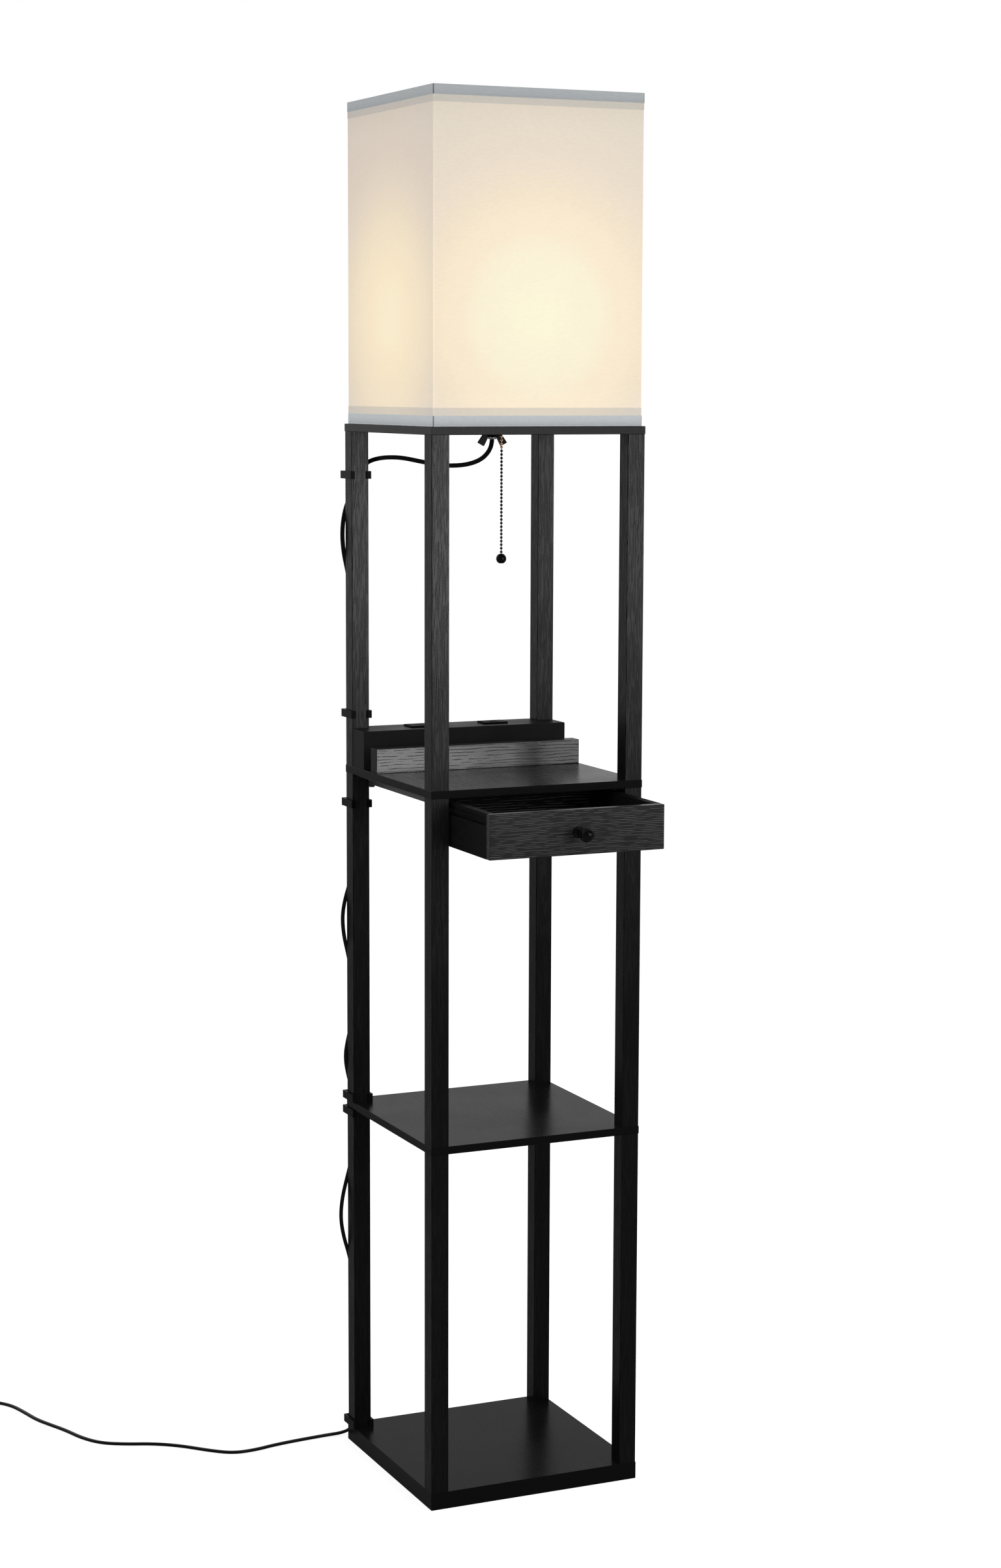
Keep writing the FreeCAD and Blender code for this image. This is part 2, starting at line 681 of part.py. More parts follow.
body_outer = shell_outer - shell_wall - body_fit
holder = rod(0, 0, body_foot, body_top, body_outer)
pocket_half = plunger_size / 2 + plunger_fit
nipple_top = nipple_foot + nipple_length
plunger_y = chain_y + plunger_inset
holder = holder.cut([
    block(chain_x - pocket_half, chain_x + pocket_half, plunger_y - pocket_half - body_outer,
          plunger_y + pocket_half, body_foot - 1, body_foot + plunger_pocket_height),
    rod(0, 0, body_foot - 1, nipple_top + 1, nipple_radius + nipple_fit)])
nodes["socket_body"] = holder

ring = rod(0, 0, body_top, body_top + screw_shell_height, screw_shell_radius)
ring = ring.cut(rod(0, 0, body_top - 1, body_top + screw_shell_height + 1,
                    screw_shell_radius - screw_shell_wall))
centre_contact = rod(0, 0, body_top, body_top + centre_contact_height, centre_contact_radius)
nodes["socket_contacts"] = Part.makeCompound([ring, centre_contact])

# ---- bulb: a metal cap and a hollow glass globe ----
bulb_cap_foot = body_top + centre_contact_height + bulb_cap_lift
bulb_cap_top = bulb_cap_foot + bulb_cap_height
nodes["bulb_cap"] = turned([(0, 0), (bulb_button_radius, 0), (bulb_cap_radius, bulb_button_height),
                            (bulb_cap_radius, bulb_cap_height),
                            (0, bulb_cap_height)], Vec(0, 0, bulb_cap_foot))


def globe_profile(shrink):
    """Half outline of the globe, from its foot on the cap up to its crown."""
    radius = bulb_radius - shrink
    foot = Vec(bulb_neck_radius - shrink, 0, bulb_cap_top)
    centre = Vec(0, 0, bulb_cap_top + bulb_centre_height)
    lean = math.radians(bulb_shoulder_angle)
    shoulder = centre + Vec(radius * math.cos(lean), 0, radius * math.sin(lean))
    flank = centre + Vec(radius, 0, 0)
    crown_side = centre + Vec(radius * math.cos(math.radians(45)), 0, radius * math.sin(math.radians(45)))
    crown = centre + Vec(0, 0, radius)
    middle = (foot + shoulder) * 0.5 + Vec(-bulb_neck_waist, 0, bulb_neck_waist / 2)
    neck_arc = Part.Arc(foot, middle, shoulder)
    low_middle = centre + Vec(radius * math.cos(lean / 2), 0, radius * math.sin(lean / 2))
    low_arc = Part.Arc(shoulder, low_middle, flank)
    high_arc = Part.Arc(flank, crown_side, crown)
    edges = [neck_arc.toShape(), low_arc.toShape(), high_arc.toShape(),
             Part.makeLine(crown, Vec(0, 0, bulb_cap_top)), Part.makeLine(Vec(0, 0, bulb_cap_top), foot)]
    return Part.Face(Part.Wire(edges)).revolve(Vec(0, 0, 0), Z_AXIS, 360)


nodes["bulb_globe"] = globe_profile(0).cut(globe_profile(bulb_wall))

# ---- pull chain: the upper beads move with the plunger, the lower ones also swing ----
first_lower_z = top_bottom - first_lower_bead
split_z = first_lower_z + bead_pitch / 2


def bead_string(first_z, count, link_top, link_bottom):
    beads = [Part.makeSphere(bead_radius, Vec(chain_x, chain_y, first_z - k * bead_pitch))
             for k in range(count)]
    link = rod(chain_x, chain_y, link_bottom, link_top, bead_link_radius)
    return link.fuse(beads).removeSplitter()


plunger_foot = body_foot + plunger_lift
plunger_top = plunger_foot + plunger_height
upper_first_z = first_lower_z + upper_bead_count * bead_pitch
upper_beads = [k for k in range(upper_bead_count)
               if upper_first_z - k * bead_pitch + bead_radius < plunger_foot]
upper_start = upper_first_z - upper_beads[0] * bead_pitch
nodes["upper_pull_chain"] = bead_string(upper_start, len(upper_beads), plunger_foot,
                                        split_z + chain_split_gap / 2)
plunger_half = plunger_size / 2
nodes["switch_plunger"] = block(chain_x - plunger_half, chain_x + plunger_half, plunger_y - plunger_half,
                                plunger_y + plunger_half, plunger_foot, plunger_top)
last_bead_z = first_lower_z - (lower_bead_count - 1) * bead_pitch
ball_top = last_bead_z - bead_radius - ball_eye_gap
nodes["lower_pull_chain"] = bead_string(first_lower_z, lower_bead_count, first_lower_z + bead_radius,
                                        ball_top)
ball_centre = Vec(chain_x, chain_y, ball_top - pull_ball_radius)
pull_ball = Part.makeSphere(pull_ball_radius, ball_centre)
ball_foot = ball_centre.z - math.sqrt(pull_ball_radius ** 2 - pull_ball_foot ** 2)
pull_ball = pull_ball.cut(rod(chain_x, chain_y, ball_foot - pull_ball_radius, ball_foot,
                              2 * pull_ball_radius))
nodes["pull_ball"] = pull_ball

# ---- shade: a fabric sleeve over one welded wire frame that stands on the top board ----
shade_half = shade_side / 2
shade_top = top_top + shade_height
outer_sleeve = block(-shade_half, shade_half, -shade_half, shade_half, top_top, shade_top)
outer_sleeve = outer_sleeve.makeFillet(shade_corner_radius, vertical_edges(outer_sleeve))
inner_half_shade = shade_half - shade_wall
inner_sleeve = block(-inner_half_shade, inner_half_shade, -inner_half_shade, inner_half_shade,
                     top_top - 1, shade_top + 1)
inner_sleeve = inner_sleeve.makeFillet(shade_corner_radius - shade_wall, vertical_edges(inner_sleeve))
nodes["shade_fabric"] = outer_sleeve.cut(inner_sleeve)

wire_half = inner_half_shade - shade_wire_gap - shade_wire_radius
wire_low = top_top + shade_wire_radius
wire_high = shade_top - shade_top_drop
frame_wires = []
for level in (wire_low, wire_high):
    ring_corners = [Vec(-wire_half, -wire_half, level), Vec(wire_half, -wire_half, level),
                    Vec(wire_half, wire_half, level), Vec(-wire_half, wire_half, level)]
    for start, end in zip(ring_corners, ring_corners[1:] + ring_corners[:1]):
        frame_wires.append(pipe_between(start, end, shade_wire_radius))
        frame_wires.append(Part.makeSphere(shade_wire_radius, start))
for sx, sy in corner_signs:
    frame_wires.append(rod(sx * wire_half, sy * wire_half, wire_low, wire_high, shade_wire_radius))
    arm_start = Vec(sx, sy, 0).normalize() * (fitter_radius - shade_wire_radius) + Vec(0, 0, wire_low)
    arm_end = Vec(sx * wire_half, sy * wire_half, wire_low)
    frame_wires.append(pipe_between(arm_start, arm_end, shade_wire_radius))
fitter = rod(0, 0, top_top, fitter_top, fitter_radius)
shade_frame = fitter.fuse(frame_wires).removeSplitter()
above_washer = rod(0, 0, fitter_top, fitter_top + cap_height, cap_radius + shade_cap_gap)
nipple_hole = rod(0, 0, top_top - 1, fitter_top + 1, nipple_radius + board_hole_clearance)
nodes["shade_frame"] = shade_frame.cut([above_washer, nipple_hole])

# ---- cable clips: open hoops that grip the rear left post and leave a channel behind it ----
clip_levels = (top_bottom - clip_under_top - clip_height, box_top + clip_over_box,
               drawer_shelf_bottom - clip_under_drawer_shelf - clip_height,
               middle_top, middle_bottom - clip_height, base_top)


def cable_clip(z0):
    x, y = -post_centre, post_centre
    inner = post_half
    outer = post_half + clip_arm
    front = y - post_half
    rear = y + post_half + clip_channel
    hook_front = front - clip_hook_thickness
    hook_inner = inner - clip_hook_width
    right_outer = [Vec(x + hook_inner, hook_front, z0), Vec(x + outer, hook_front, z0),
                   Vec(x + outer, rear + clip_plate, z0)]
    left_outer = [Vec(x - outer, rear + clip_plate, z0), Vec(x - outer, hook_front, z0),
                  Vec(x - hook_inner, hook_front, z0)]
    left_inner = [Vec(x - hook_inner, front, z0), Vec(x - inner, front, z0), Vec(x - inner, rear, z0)]
    right_inner = [Vec(x + inner, rear, z0), Vec(x + inner, front, z0), Vec(x + hook_inner, front, z0)]
    return extruded(right_outer + left_outer + left_inner + right_inner, Vec(0, 0, clip_height))


nodes["cable_clips"] = Part.makeCompound([cable_clip(level) for level in clip_levels])


# ---- cords: straight runs joined by tangent arcs ----
def corner_arc(before, corner, after, leg):
    """Arc that leaves both runs one leg away from their corner."""
    start = corner + (before - corner).normalize() * leg
    end = corner + (after - corner).normalize() * leg
    half_turn = (corner - start).getAngle(end - corner) / 2
    radius = leg / math.tan(half_turn)
    chord_middle = (start + end) * 0.5
    rise = radius * (1 - math.cos(half_turn))
    middle = chord_middle + (corner - chord_middle).normalize() * rise
    return start, middle, end, radius


def cord_tube(name, points):
    route = [Vec(*p) for p in points]
    runs = [(b - a).Length for a, b in zip(route, route[1:])]
    edges = []
    radii = []
    at = route[0]
    for k in range(1, len(route) - 1):
        leg = cord_bend_share * min(runs[k - 1], runs[k])
        start, middle, end, radius = corner_arc(route[k - 1], route[k], route[k + 1], leg)
        edges.append(Part.LineSegment(at, start).toShape())
        edges.append(Part.Arc(start, middle, end).toShape())
        radii.append(radius)
        at = end
    edges.append(Part.LineSegment(at, route[-1]).toShape())
    path = Part.Wire(edges)
    section = Part.Wire(Part.makeCircle(cord_diameter / 2, route[0], route[1] - route[0]))
    tube = path.makePipeShell([section], True, False)
    expected = path.Length * math.pi * (cord_diameter / 2) ** 2
    ratios = [max(a, b) / min(a, b) for a, b in zip(runs, runs[1:])]
    print(name, "length %.0f" % path.Length, "volume ratio %.4f" % (tube.Volume / expected),
          "least radius %.1f" % min(radii), "longest run %.0f" % max(runs), "largest step %.2f" % max(ratios),
          "lowest %.2f" % tube.BoundBox.ZMin)
    print("  radii", " ".join("%.0f" % r for r in radii))
    return tube


post_back_y = 132.7
lamp_cord_route = [
    (0, 0, 1214), (0, 0, 1205), (-2.2, 2.6, 1195.5), (-7.6, 8.7, 1187), (-15.5, 17.7, 1181.4),
    (-26.5, 30.3, 1178.2), (-41, 46.9, 1177.8), (-58, 66.3, 1181.6), (-76, 86.5, 1186.4),
    (-89, 102, 1186.4), (-96.5, 112.5, 1184.6), (-101.3, 122.3, 1181.8), (-104.8, 130.3, 1177.2),
    (-110.9, 133.9, 1171), (-114.2, 133.2, 1161.5), (-117.6, post_back_y, 1152),
    (-122.6, post_back_y, 1140), (-129.3, post_back_y, 1123), (-132.4, post_back_y, 1100),
    (-130.8, post_back_y, 1076), (-125.3, post_back_y, 1052), (-120, post_back_y, 1022),
    (-118.3, post_back_y, 984), (-119.6, post_back_y, 945), (-118.6, post_back_y, 915),
    (-119.2, post_back_y, 895), (-118.2, 133.2, 882), (-114.5, lead_y, 871), (-108, lead_y, 862.5),
    (-100, lead_y, 858), (-92, lead_y, 858)]
mains_cord_route = [
    (mains_relief_x, lead_y, 812), (-98.3, lead_y, 805.2), (-101, 134, 799), (-106, 133.6, 793.5),
    (-111.5, 133.2, 787.5), (-115.4, 133, 778), (-118, post_back_y, 766),
    (-119.2, post_back_y, 752), (-118.4, post_back_y, 732),
    (-119.6, post_back_y, 707), (-124, post_back_y, 684), (-130.5, post_back_y, 664),
    (-133.9, post_back_y, 644), (-132.2, post_back_y, 621), (-126.5, post_back_y, 597),
    (-121, post_back_y, 570), (-119.8, post_back_y, 541), (-122.2, post_back_y, 513),
    (-127.8, post_back_y, 493), (-131, post_back_y, 473), (-127.4, post_back_y, 451),
    (-121.8, post_back_y, 433), (-119.2, post_back_y, 414), (-119.4, post_back_y, 391),
    (-120.3, post_back_y, 368), (-123.4, post_back_y, 345), (-129.6, post_back_y, 323),
    (-135.4, post_back_y, 300), (-137.6, post_back_y, 276), (-133.6, post_back_y, 252),
    (-126.8, post_back_y, 230), (-121.2, post_back_y, 203), (-118.8, post_back_y, 168),
    (-119.6, post_back_y, 128), (-118.7, post_back_y, 90), (-119.3, post_back_y, 60), (-119, post_back_y, 41),
    (-119.2, 133.2, 26), (-121, 135.4, 14), (-126.5, 139.5, 6.6), (-136, 143.5, 3.1), (-149, 145.5, 2.3),
    (-168, 145, cord_floor), (-192, 143, cord_floor), (-221, 139.4, cord_floor), (-249, 132.6, cord_floor),
    (-276, 133, cord_floor), (-299, 152, cord_floor), (-325, 181, cord_floor), (-353, 201.5, cord_floor),
    (-385, 214, cord_floor), (-411, 229.5, cord_floor), (-427, 256, cord_floor), (-437.5, 290, cord_floor),
    (-449, 316, cord_floor), (-459.5, 341, cord_floor), (-466, 372, cord_floor), (-473.5, 402, cord_floor),
    (-487, 422, cord_floor), (-505, 433.5, cord_floor), (-523, coil_entry_y, cord_floor),
    (coil_entry_x, coil_entry_y, cord_floor)]
nodes["lamp_cord"] = cord_tube("lamp_cord", lamp_cord_route)
nodes["mains_cord"] = cord_tube("mains_cord", mains_cord_route)


# ---- coil: two layers, spiralling in on the floor, climbing once and spiralling out on top ----
coil_centre = Vec(coil_entry_x - cord_diameter, coil_entry_y + coil_outer_radius, 0)
total_turns = 2 * coil_turns_per_layer + 0.5


def coil_point(turn):
    climb = min(max((turn - coil_turns_per_layer) / 0.5, 0), 1)
    radius = coil_outer_radius - coil_pitch * min(turn, total_turns - turn)
    angle = -math.pi / 2 - 2 * math.pi * turn
    rise = coil_layer_rise * (3 * climb ** 2 - 2 * climb ** 3)
    return coil_centre + Vec(radius * math.cos(angle), radius * math.sin(angle), cord_floor + rise)


def coil_heading(turn):
    step = 1e-4
    return (coil_point(turn + step) - coil_point(turn - step)).normalize()


def biarc(p0, t0, p1, t1):
    """Two arcs that join p0 to p1 with the headings t0 and t1."""
    chord = p1 - p0
    both = t0 + t1
    spread = 2 * (1 - t0.dot(t1))
    along = chord.dot(both)
    reach = (-along + math.sqrt(along ** 2 + spread * chord.dot(chord))) / spread
    q0 = p0 + t0 * reach
    q1 = p1 - t1 * reach
    joint = (q0 + q1) * 0.5
    arcs = []
    for start, corner, end in ((p0, q0, joint), (joint, q1, p1)):
        first, middle, last, _ = corner_arc(start, corner, end, reach)
        arcs.append(Part.Arc(first, middle, last))
    return arcs


quarter_count = int(round(4 * total_turns))
stations = [k / 4 for k in range(quarter_count + 1)]
coil_points = [coil_point(turn) for turn in stations]
coil_headings = [coil_heading(turn) for turn in stations]
coil_headings[0] = Vec(-1, 0, 0)
coil_headings[-1] = Vec(-1, 0, 0)
coil_start = Vec(coil_entry_x, coil_entry_y, cord_floor)
coil_end = coil_points[-1] - X_AXIS * cord_diameter
coil_curves = [Part.LineSegment(coil_start, coil_points[0])]
for k in range(quarter_count):
    coil_curves += biarc(coil_points[k], coil_headings[k], coil_points[k + 1], coil_headings[k + 1])
coil_curves.append(Part.LineSegment(coil_points[-1], coil_end))
coil_path = Part.Wire([curve.toShape() for curve in coil_curves])
coil_section = Part.Wire(Part.makeCircle(cord_diameter / 2, coil_start, Vec(-1, 0, 0)))
nodes["cord_coil"] = coil_path.makePipeShell([coil_section], True, False)


def least_coil_gap():
    """Least distance between turns, on points 3 mm apart, less the cord's diameter."""
    samples = coil_path.discretize(Number=int(coil_path.Length / 3))
    spacing = coil_path.Length / (len(samples) - 1)
    skip = int(math.ceil(15 / spacing))
    least = 1e9
    for i, p in enumerate(samples):
        for q in samples[i + skip:]:
            least = min(least, (p - q).Length)
    return least - cord_diameter


coil_volume = coil_path.Length * math.pi * (cord_diameter / 2) ** 2
print("cord_coil length %.0f" % coil_path.Length,
      "volume ratio %.4f" % (nodes["cord_coil"].Volume / coil_volume),
      "turns %.1f" % total_turns, "least gap to itself %.2f" % least_coil_gap())

# ---- cord fittings ----
relief_w, relief_d, relief_h = relief_block
mains_relief_z = drawer_shelf_top + mains_relief_lift
lead_grommet_z = drawer_shelf_top + lead_grommet_lift
relief_y0 = box_back
relief_y1 = box_back + relief_d
mains_block = block(mains_relief_x - relief_w / 2, mains_relief_x + relief_w / 2, relief_y0, relief_y1,
                    mains_relief_z, mains_relief_z + relief_h)
sleeve = Part.makeCone(relief_tip_radius, relief_root_radius, relief_length,
                       Vec(mains_relief_x, lead_y, mains_relief_z - relief_length), Z_AXIS)
nodes["mains_strain_relief"] = mains_block.fuse(sleeve)
nodes["lamp_lead_grommet"] = block(lead_grommet_x, lead_grommet_x + relief_w, relief_y0, relief_y1,
                                   lead_grommet_z, lead_grommet_z + relief_h)

plug_axis_z = coil_end.z
plug_sleeve = Part.makeCone(plug_relief_tip_radius, plug_relief_root_radius, plug_relief_length,
                            coil_end, -X_AXIS)
plug_x1 = coil_end.x - plug_relief_length
plug_x0 = plug_x1 - plug_length
plug_body = block(plug_x0, plug_x1, coil_end.y - plug_width / 2, coil_end.y + plug_width / 2,
                  0, 2 * plug_axis_z)
plug_body = plug_body.makeFillet(plug_fillet, plug_body.Edges)
blades = []
blade_rooms = []
for sign in (-1, 1):
    blade_y = coil_end.y + sign * plug_blade_spacing / 2
    for play, group in ((0, blades), (screw_clearance, blade_rooms)):
        group.append(block(plug_x0 - plug_blade_reach, plug_x0 + plug_blade_bite + play,
                           blade_y - plug_blade_thickness / 2 - play,
                           blade_y + plug_blade_thickness / 2 + play,
                           plug_axis_z - plug_blade_width / 2 - play,
                           plug_axis_z + plug_blade_width / 2 + play))
nodes["mains_plug"] = plug_body.fuse(plug_sleeve).cut(blade_rooms)
nodes["plug_blades"] = Part.makeCompound(blades)

# ---- write every sub-part ----
os.makedirs("parts", exist_ok=True)
for name, shape in nodes.items():
    if not shape.isValid():
        print("not valid:", name)
    shape.exportStep("parts/%s.step" % name)
print(len(nodes), "nodes,", sum(len(shape.Solids) for shape in nodes.values()), "solids")
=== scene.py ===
import bpy
import math
from mathutils import Matrix, Vector


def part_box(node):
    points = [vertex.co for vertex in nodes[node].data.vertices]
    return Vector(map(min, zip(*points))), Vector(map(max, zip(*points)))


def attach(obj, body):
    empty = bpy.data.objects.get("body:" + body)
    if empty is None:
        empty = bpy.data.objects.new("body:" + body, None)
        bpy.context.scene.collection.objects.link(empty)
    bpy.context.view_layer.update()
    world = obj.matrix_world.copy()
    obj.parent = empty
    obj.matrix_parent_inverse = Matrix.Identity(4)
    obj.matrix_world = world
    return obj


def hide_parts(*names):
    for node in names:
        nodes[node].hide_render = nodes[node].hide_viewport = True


# Shelf floor lamp, dressed for its photograph. Metres, +Z up, the drawer opens towards -Y.
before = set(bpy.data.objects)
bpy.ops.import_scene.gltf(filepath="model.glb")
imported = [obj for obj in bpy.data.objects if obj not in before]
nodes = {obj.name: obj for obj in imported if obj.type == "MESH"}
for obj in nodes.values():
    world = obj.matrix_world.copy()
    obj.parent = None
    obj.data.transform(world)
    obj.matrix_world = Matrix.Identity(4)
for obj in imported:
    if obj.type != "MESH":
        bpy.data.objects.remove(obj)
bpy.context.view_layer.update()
print("frame loaded,", len(nodes), "nodes")


# where the photograph was taken from, solved from the corners of the boards
cameraSetup = {
    "place": (-1.4101, -3.1597, 1.2738),
    "yaw": -24.229,
    "pitchDown": 7.605,
    "roll": 0.186,
    "focalPixels": 4628.0,
    "imageHeight": 2408,
    "sensorHeight": 36.0,
}


def placeCamera(setup):
    data = bpy.data.cameras.new("photoCamera")
    data.sensor_fit = "VERTICAL"
    data.sensor_height = setup["sensorHeight"]
    data.lens = setup["focalPixels"] / setup["imageHeight"] * setup["sensorHeight"]
    data.clip_end = 100
    camera = bpy.data.objects.new("photoCamera", data)
    bpy.context.scene.collection.objects.link(camera)
    turn = Matrix.Rotation(math.radians(setup["yaw"]), 4, "Z")
    tilt = Matrix.Rotation(math.radians(90 - setup["pitchDown"]), 4, "X")
    roll = Matrix.Rotation(math.radians(setup["roll"]), 4, "Z")
    camera.matrix_world = Matrix.Translation(setup["place"]) @ turn @ tilt @ roll
    bpy.context.scene.camera = camera


placeCamera(cameraSetup)
bpy.context.scene.view_settings.view_transform = "Standard"
print("camera placed")


# shader maths: an expression on Flow values adds its Math nodes
class Flow:
    def __init__(self, recipe, socket):
        self.recipe = recipe
        self.socket = socket

    def math(self, operation, *others):
        return self.recipe.maths(operation, self, *others)

    def __add__(self, other):
        return self.math("ADD", other)

    def __sub__(self, other):
        return self.math("SUBTRACT", other)

    def __rsub__(self, other):
        return self.recipe.maths("SUBTRACT", other, self)

    def __mul__(self, other):
        return self.math("MULTIPLY", other)

    def __truediv__(self, other):
        return self.math("DIVIDE", other)

    def __rtruediv__(self, other):
        return self.recipe.maths("DIVIDE", other, self)

    __radd__ = __add__
    __rmul__ = __mul__


class Recipe:
    def __init__(self, tree):
        self.tree = tree
        tree.nodes.clear()

    def add(self, kind, settings=None, values=None, out=0):
        node = self.tree.nodes.new(kind)
        for name, value in (settings or {}).items():
            if name == "stops":
                self.setStops(node.color_ramp, value)
            else:
                setattr(node, name, value)
        for name, value in (values or {}).items():
            if isinstance(value, Flow):
                self.tree.links.new(value.socket, node.inputs[name])
            else:
                node.inputs[name].default_value = value
        return Flow(self, node.outputs[out]) if len(node.outputs) else None

    def maths(self, operation, *values):
        return self.add("ShaderNodeMath", {"operation": operation}, dict(enumerate(values)))

    def setStops(self, ramp, stops):
        while len(ramp.elements) < len(stops):
            ramp.elements.new(1.0)
        for element, (place, colour) in zip(ramp.elements, stops):
            element.position = place
            element.color = (*colour, 1)

    def place(self):
        return self.add("ShaderNodeTexCoord", out="Object")

    def parts(self, vector):
        split = self.add("ShaderNodeSeparateXYZ", values={0: vector})
        return [Flow(self, split.socket.node.outputs[axis]) for axis in "XYZ"]

    def facing(self):
        normal = self.add("ShaderNodeNewGeometry", out="Normal")
        return [part.math("ABSOLUTE") for part in self.parts(normal)]

    def scaled(self, vector, scale):
        return self.add("ShaderNodeVectorMath", {"operation": "MULTIPLY"}, {0: vector, 1: scale})

    def dimmed(self, vector, share):
        return self.add("ShaderNodeVectorMath", {"operation": "SCALE"}, {0: vector, "Scale": share})

    def noise(self, vector, scale, detail):
        return self.add("ShaderNodeTexNoise", values={"Vector": vector, "Scale": scale, "Detail": detail})

    def ease(self, value, low, high, toLow=0.0, toHigh=1.0):
        return self.add("ShaderNodeMapRange", {"interpolation_type": "SMOOTHSTEP"}, {
            "Value": value, "From Min": low, "From Max": high, "To Min": toLow, "To Max": toHigh})

    def blend(self, share, first, second):
        return self.add("ShaderNodeMix", {"data_type": "RGBA"}, {0: share, 6: first, 7: second}, out=2)

    def ramp(self, value, stops):
        return self.add("ShaderNodeValToRGB", {"stops": stops}, {0: value})

    def bump(self, height, strength, distance):
        return self.add("ShaderNodeBump", values={
            "Height": height, "Strength": strength, "Distance": distance})


# one number gives a grey
def colour(r, g=None, b=None):
    return (r, r if g is None else g, r if b is None else b, 1)


# a material: varying inputs come as Flow values, the rest are set on the shader itself
def finish(name, build):
    material = bpy.data.materials.new(name)
    material.use_nodes = True
    recipe = Recipe(material.node_tree)
    values = build(recipe)
    shader = recipe.add("ShaderNodeBsdfPrincipled", values=values)
    recipe.add("ShaderNodeOutputMaterial", values={"Surface": shader})
    return material


# black wood-grain laminate: rows of pores pressed into the film, dark, or painted pale as a highlight where
# they catch the light
grainSettings = {
    "spacing": 0.0015,         # metres between rows of pores
    "wander": 1.7,             # rows that a row strays by
    "wanderAcross": 90.0,
    "wanderAlong": 16.0,
    "dashAcross": 520.0,
    "dashAlong": 42.0,
    "dashFrom": 0.38,
    "dashTo": 0.50,
    "lineFrom": 0.15,
    "lineTo": 0.90,
    "tone": 0.020,
    "coolness": 0.01,          # green is this much stronger than red, and blue twice as much
    "poreTone": 0.002,
    "shadedFootTone": 0.24,           # painted shade: share of the tone left at the foot of the tower
    "lowHeight": 0.48,
    "highHeight": 1.12,
    "cloudScale": 11.0,
    "cloudTone": 0.15,
    "cloudRoughness": 0.02,
    "roughness": 0.27,
    "level": 0.06,
    "poreDepth": 0.00014,
    "poreStrength": 0.7,
    "poreDull": 0.45,          # extra roughness inside a pore
    "edgeLow": 0.8,            # painted light: the boards' edges are painted brighter between these heights
    "edgeHigh": 1.2,
    "lowEdge": 0.16,           # painted shade: share of the edge's tone below them
    "sideShadeShare": 1.0,          # painted shade: tone of the faces that look sideways, against the others
    "sheen": 0.0,              # lacquer on the faces that look forwards
    "poreBare": 1.0,           # share of the lacquer missing in a pore
    "sheenRoughness": 0.16,
    "sheenIndex": 1.5,
}


def grainPores(recipe, along, settings):
    place = recipe.place()
    parts = dict(zip("xyz", recipe.parts(place)))
    parts.pop(along)
    first, second = parts.values()

    def stretched(across, lengthwise):
        scale = [across] * 3
        scale["xyz".index(along)] = lengthwise
        return recipe.scaled(place, scale)

    stray = recipe.noise(stretched(settings["wanderAcross"], settings["wanderAlong"]), 1.0, 2.0) - 0.5
    row = (first + second) / settings["spacing"] + stray * (2 * settings["wander"])
    line = recipe.ease((row * (2 * math.pi)).math("SINE"), settings["lineFrom"], settings["lineTo"])
    dash = recipe.ease(recipe.noise(stretched(settings["dashAcross"], settings["dashAlong"]), 1.0, 1.0),
                       settings["dashFrom"], settings["dashTo"])
    return line * dash


def grainFinish(name, along, edgeTone=None, changes=None):
    settings = dict(grainSettings, **(changes or {}))

    def build(recipe):
        pore = grainPores(recipe, along, settings)
        place = recipe.place()
        cloud = recipe.noise(place, settings["cloudScale"], 2.0)
        height = recipe.parts(place)[2]
        # painted light and shade: the tone, and the lacquer below, fall off from the top of the tower
        # towards its foot
        lift = recipe.ease(height, settings["lowHeight"], settings["highHeight"], settings["shadedFootTone"], 1.0)
        bare, cool = settings["tone"], settings["coolness"]
        tone = recipe.blend(pore, colour(bare, bare * (1 + cool), bare * (1 + 2 * cool)),
                            colour(settings["poreTone"]))
        sideways, forwards, upwards = recipe.facing()
        spread, swing = settings["cloudTone"], settings["cloudRoughness"]
        shade = lift * recipe.ease(cloud, 0.3, 0.7, 1 - spread, 1 + spread)
        # painted shade: the faces that look sideways are darker
        shade = shade * recipe.ease(sideways, 0.5, 0.8, 1.0, settings["sideShadeShare"])
        base = recipe.dimmed(tone, shade)
        rough = settings["roughness"] + pore * settings["poreDull"]
        rough = rough + recipe.ease(cloud, 0.35, 0.65, -swing, swing)
        if edgeTone is not None:
            flat = upwards.math("GREATER_THAN", 0.6)
            # painted light: the boards' edges lighter towards the top of the tower
            paintedEdgeLight = recipe.ease(height, settings["edgeLow"], settings["edgeHigh"],
                                   settings["lowEdge"], 1.0)
            base = recipe.blend(flat, recipe.dimmed((edgeTone,) * 3, paintedEdgeLight), base)
        values = {"Base Color": base, "Roughness": rough, "Specular IOR Level": settings["level"],
                  "Normal": recipe.bump(1 - pore, settings["poreStrength"], settings["poreDepth"])}
        if settings["sheen"]:
            covered = 1 - pore * settings["poreBare"]
            weight = recipe.ease(forwards, 0.5, 0.8, 0.0, settings["sheen"]) * covered
            values["Coat Weight"] = weight * lift
            values["Coat Roughness"] = settings["sheenRoughness"]
            values["Coat IOR"] = settings["sheenIndex"]
        return values

    return finish(name, build)


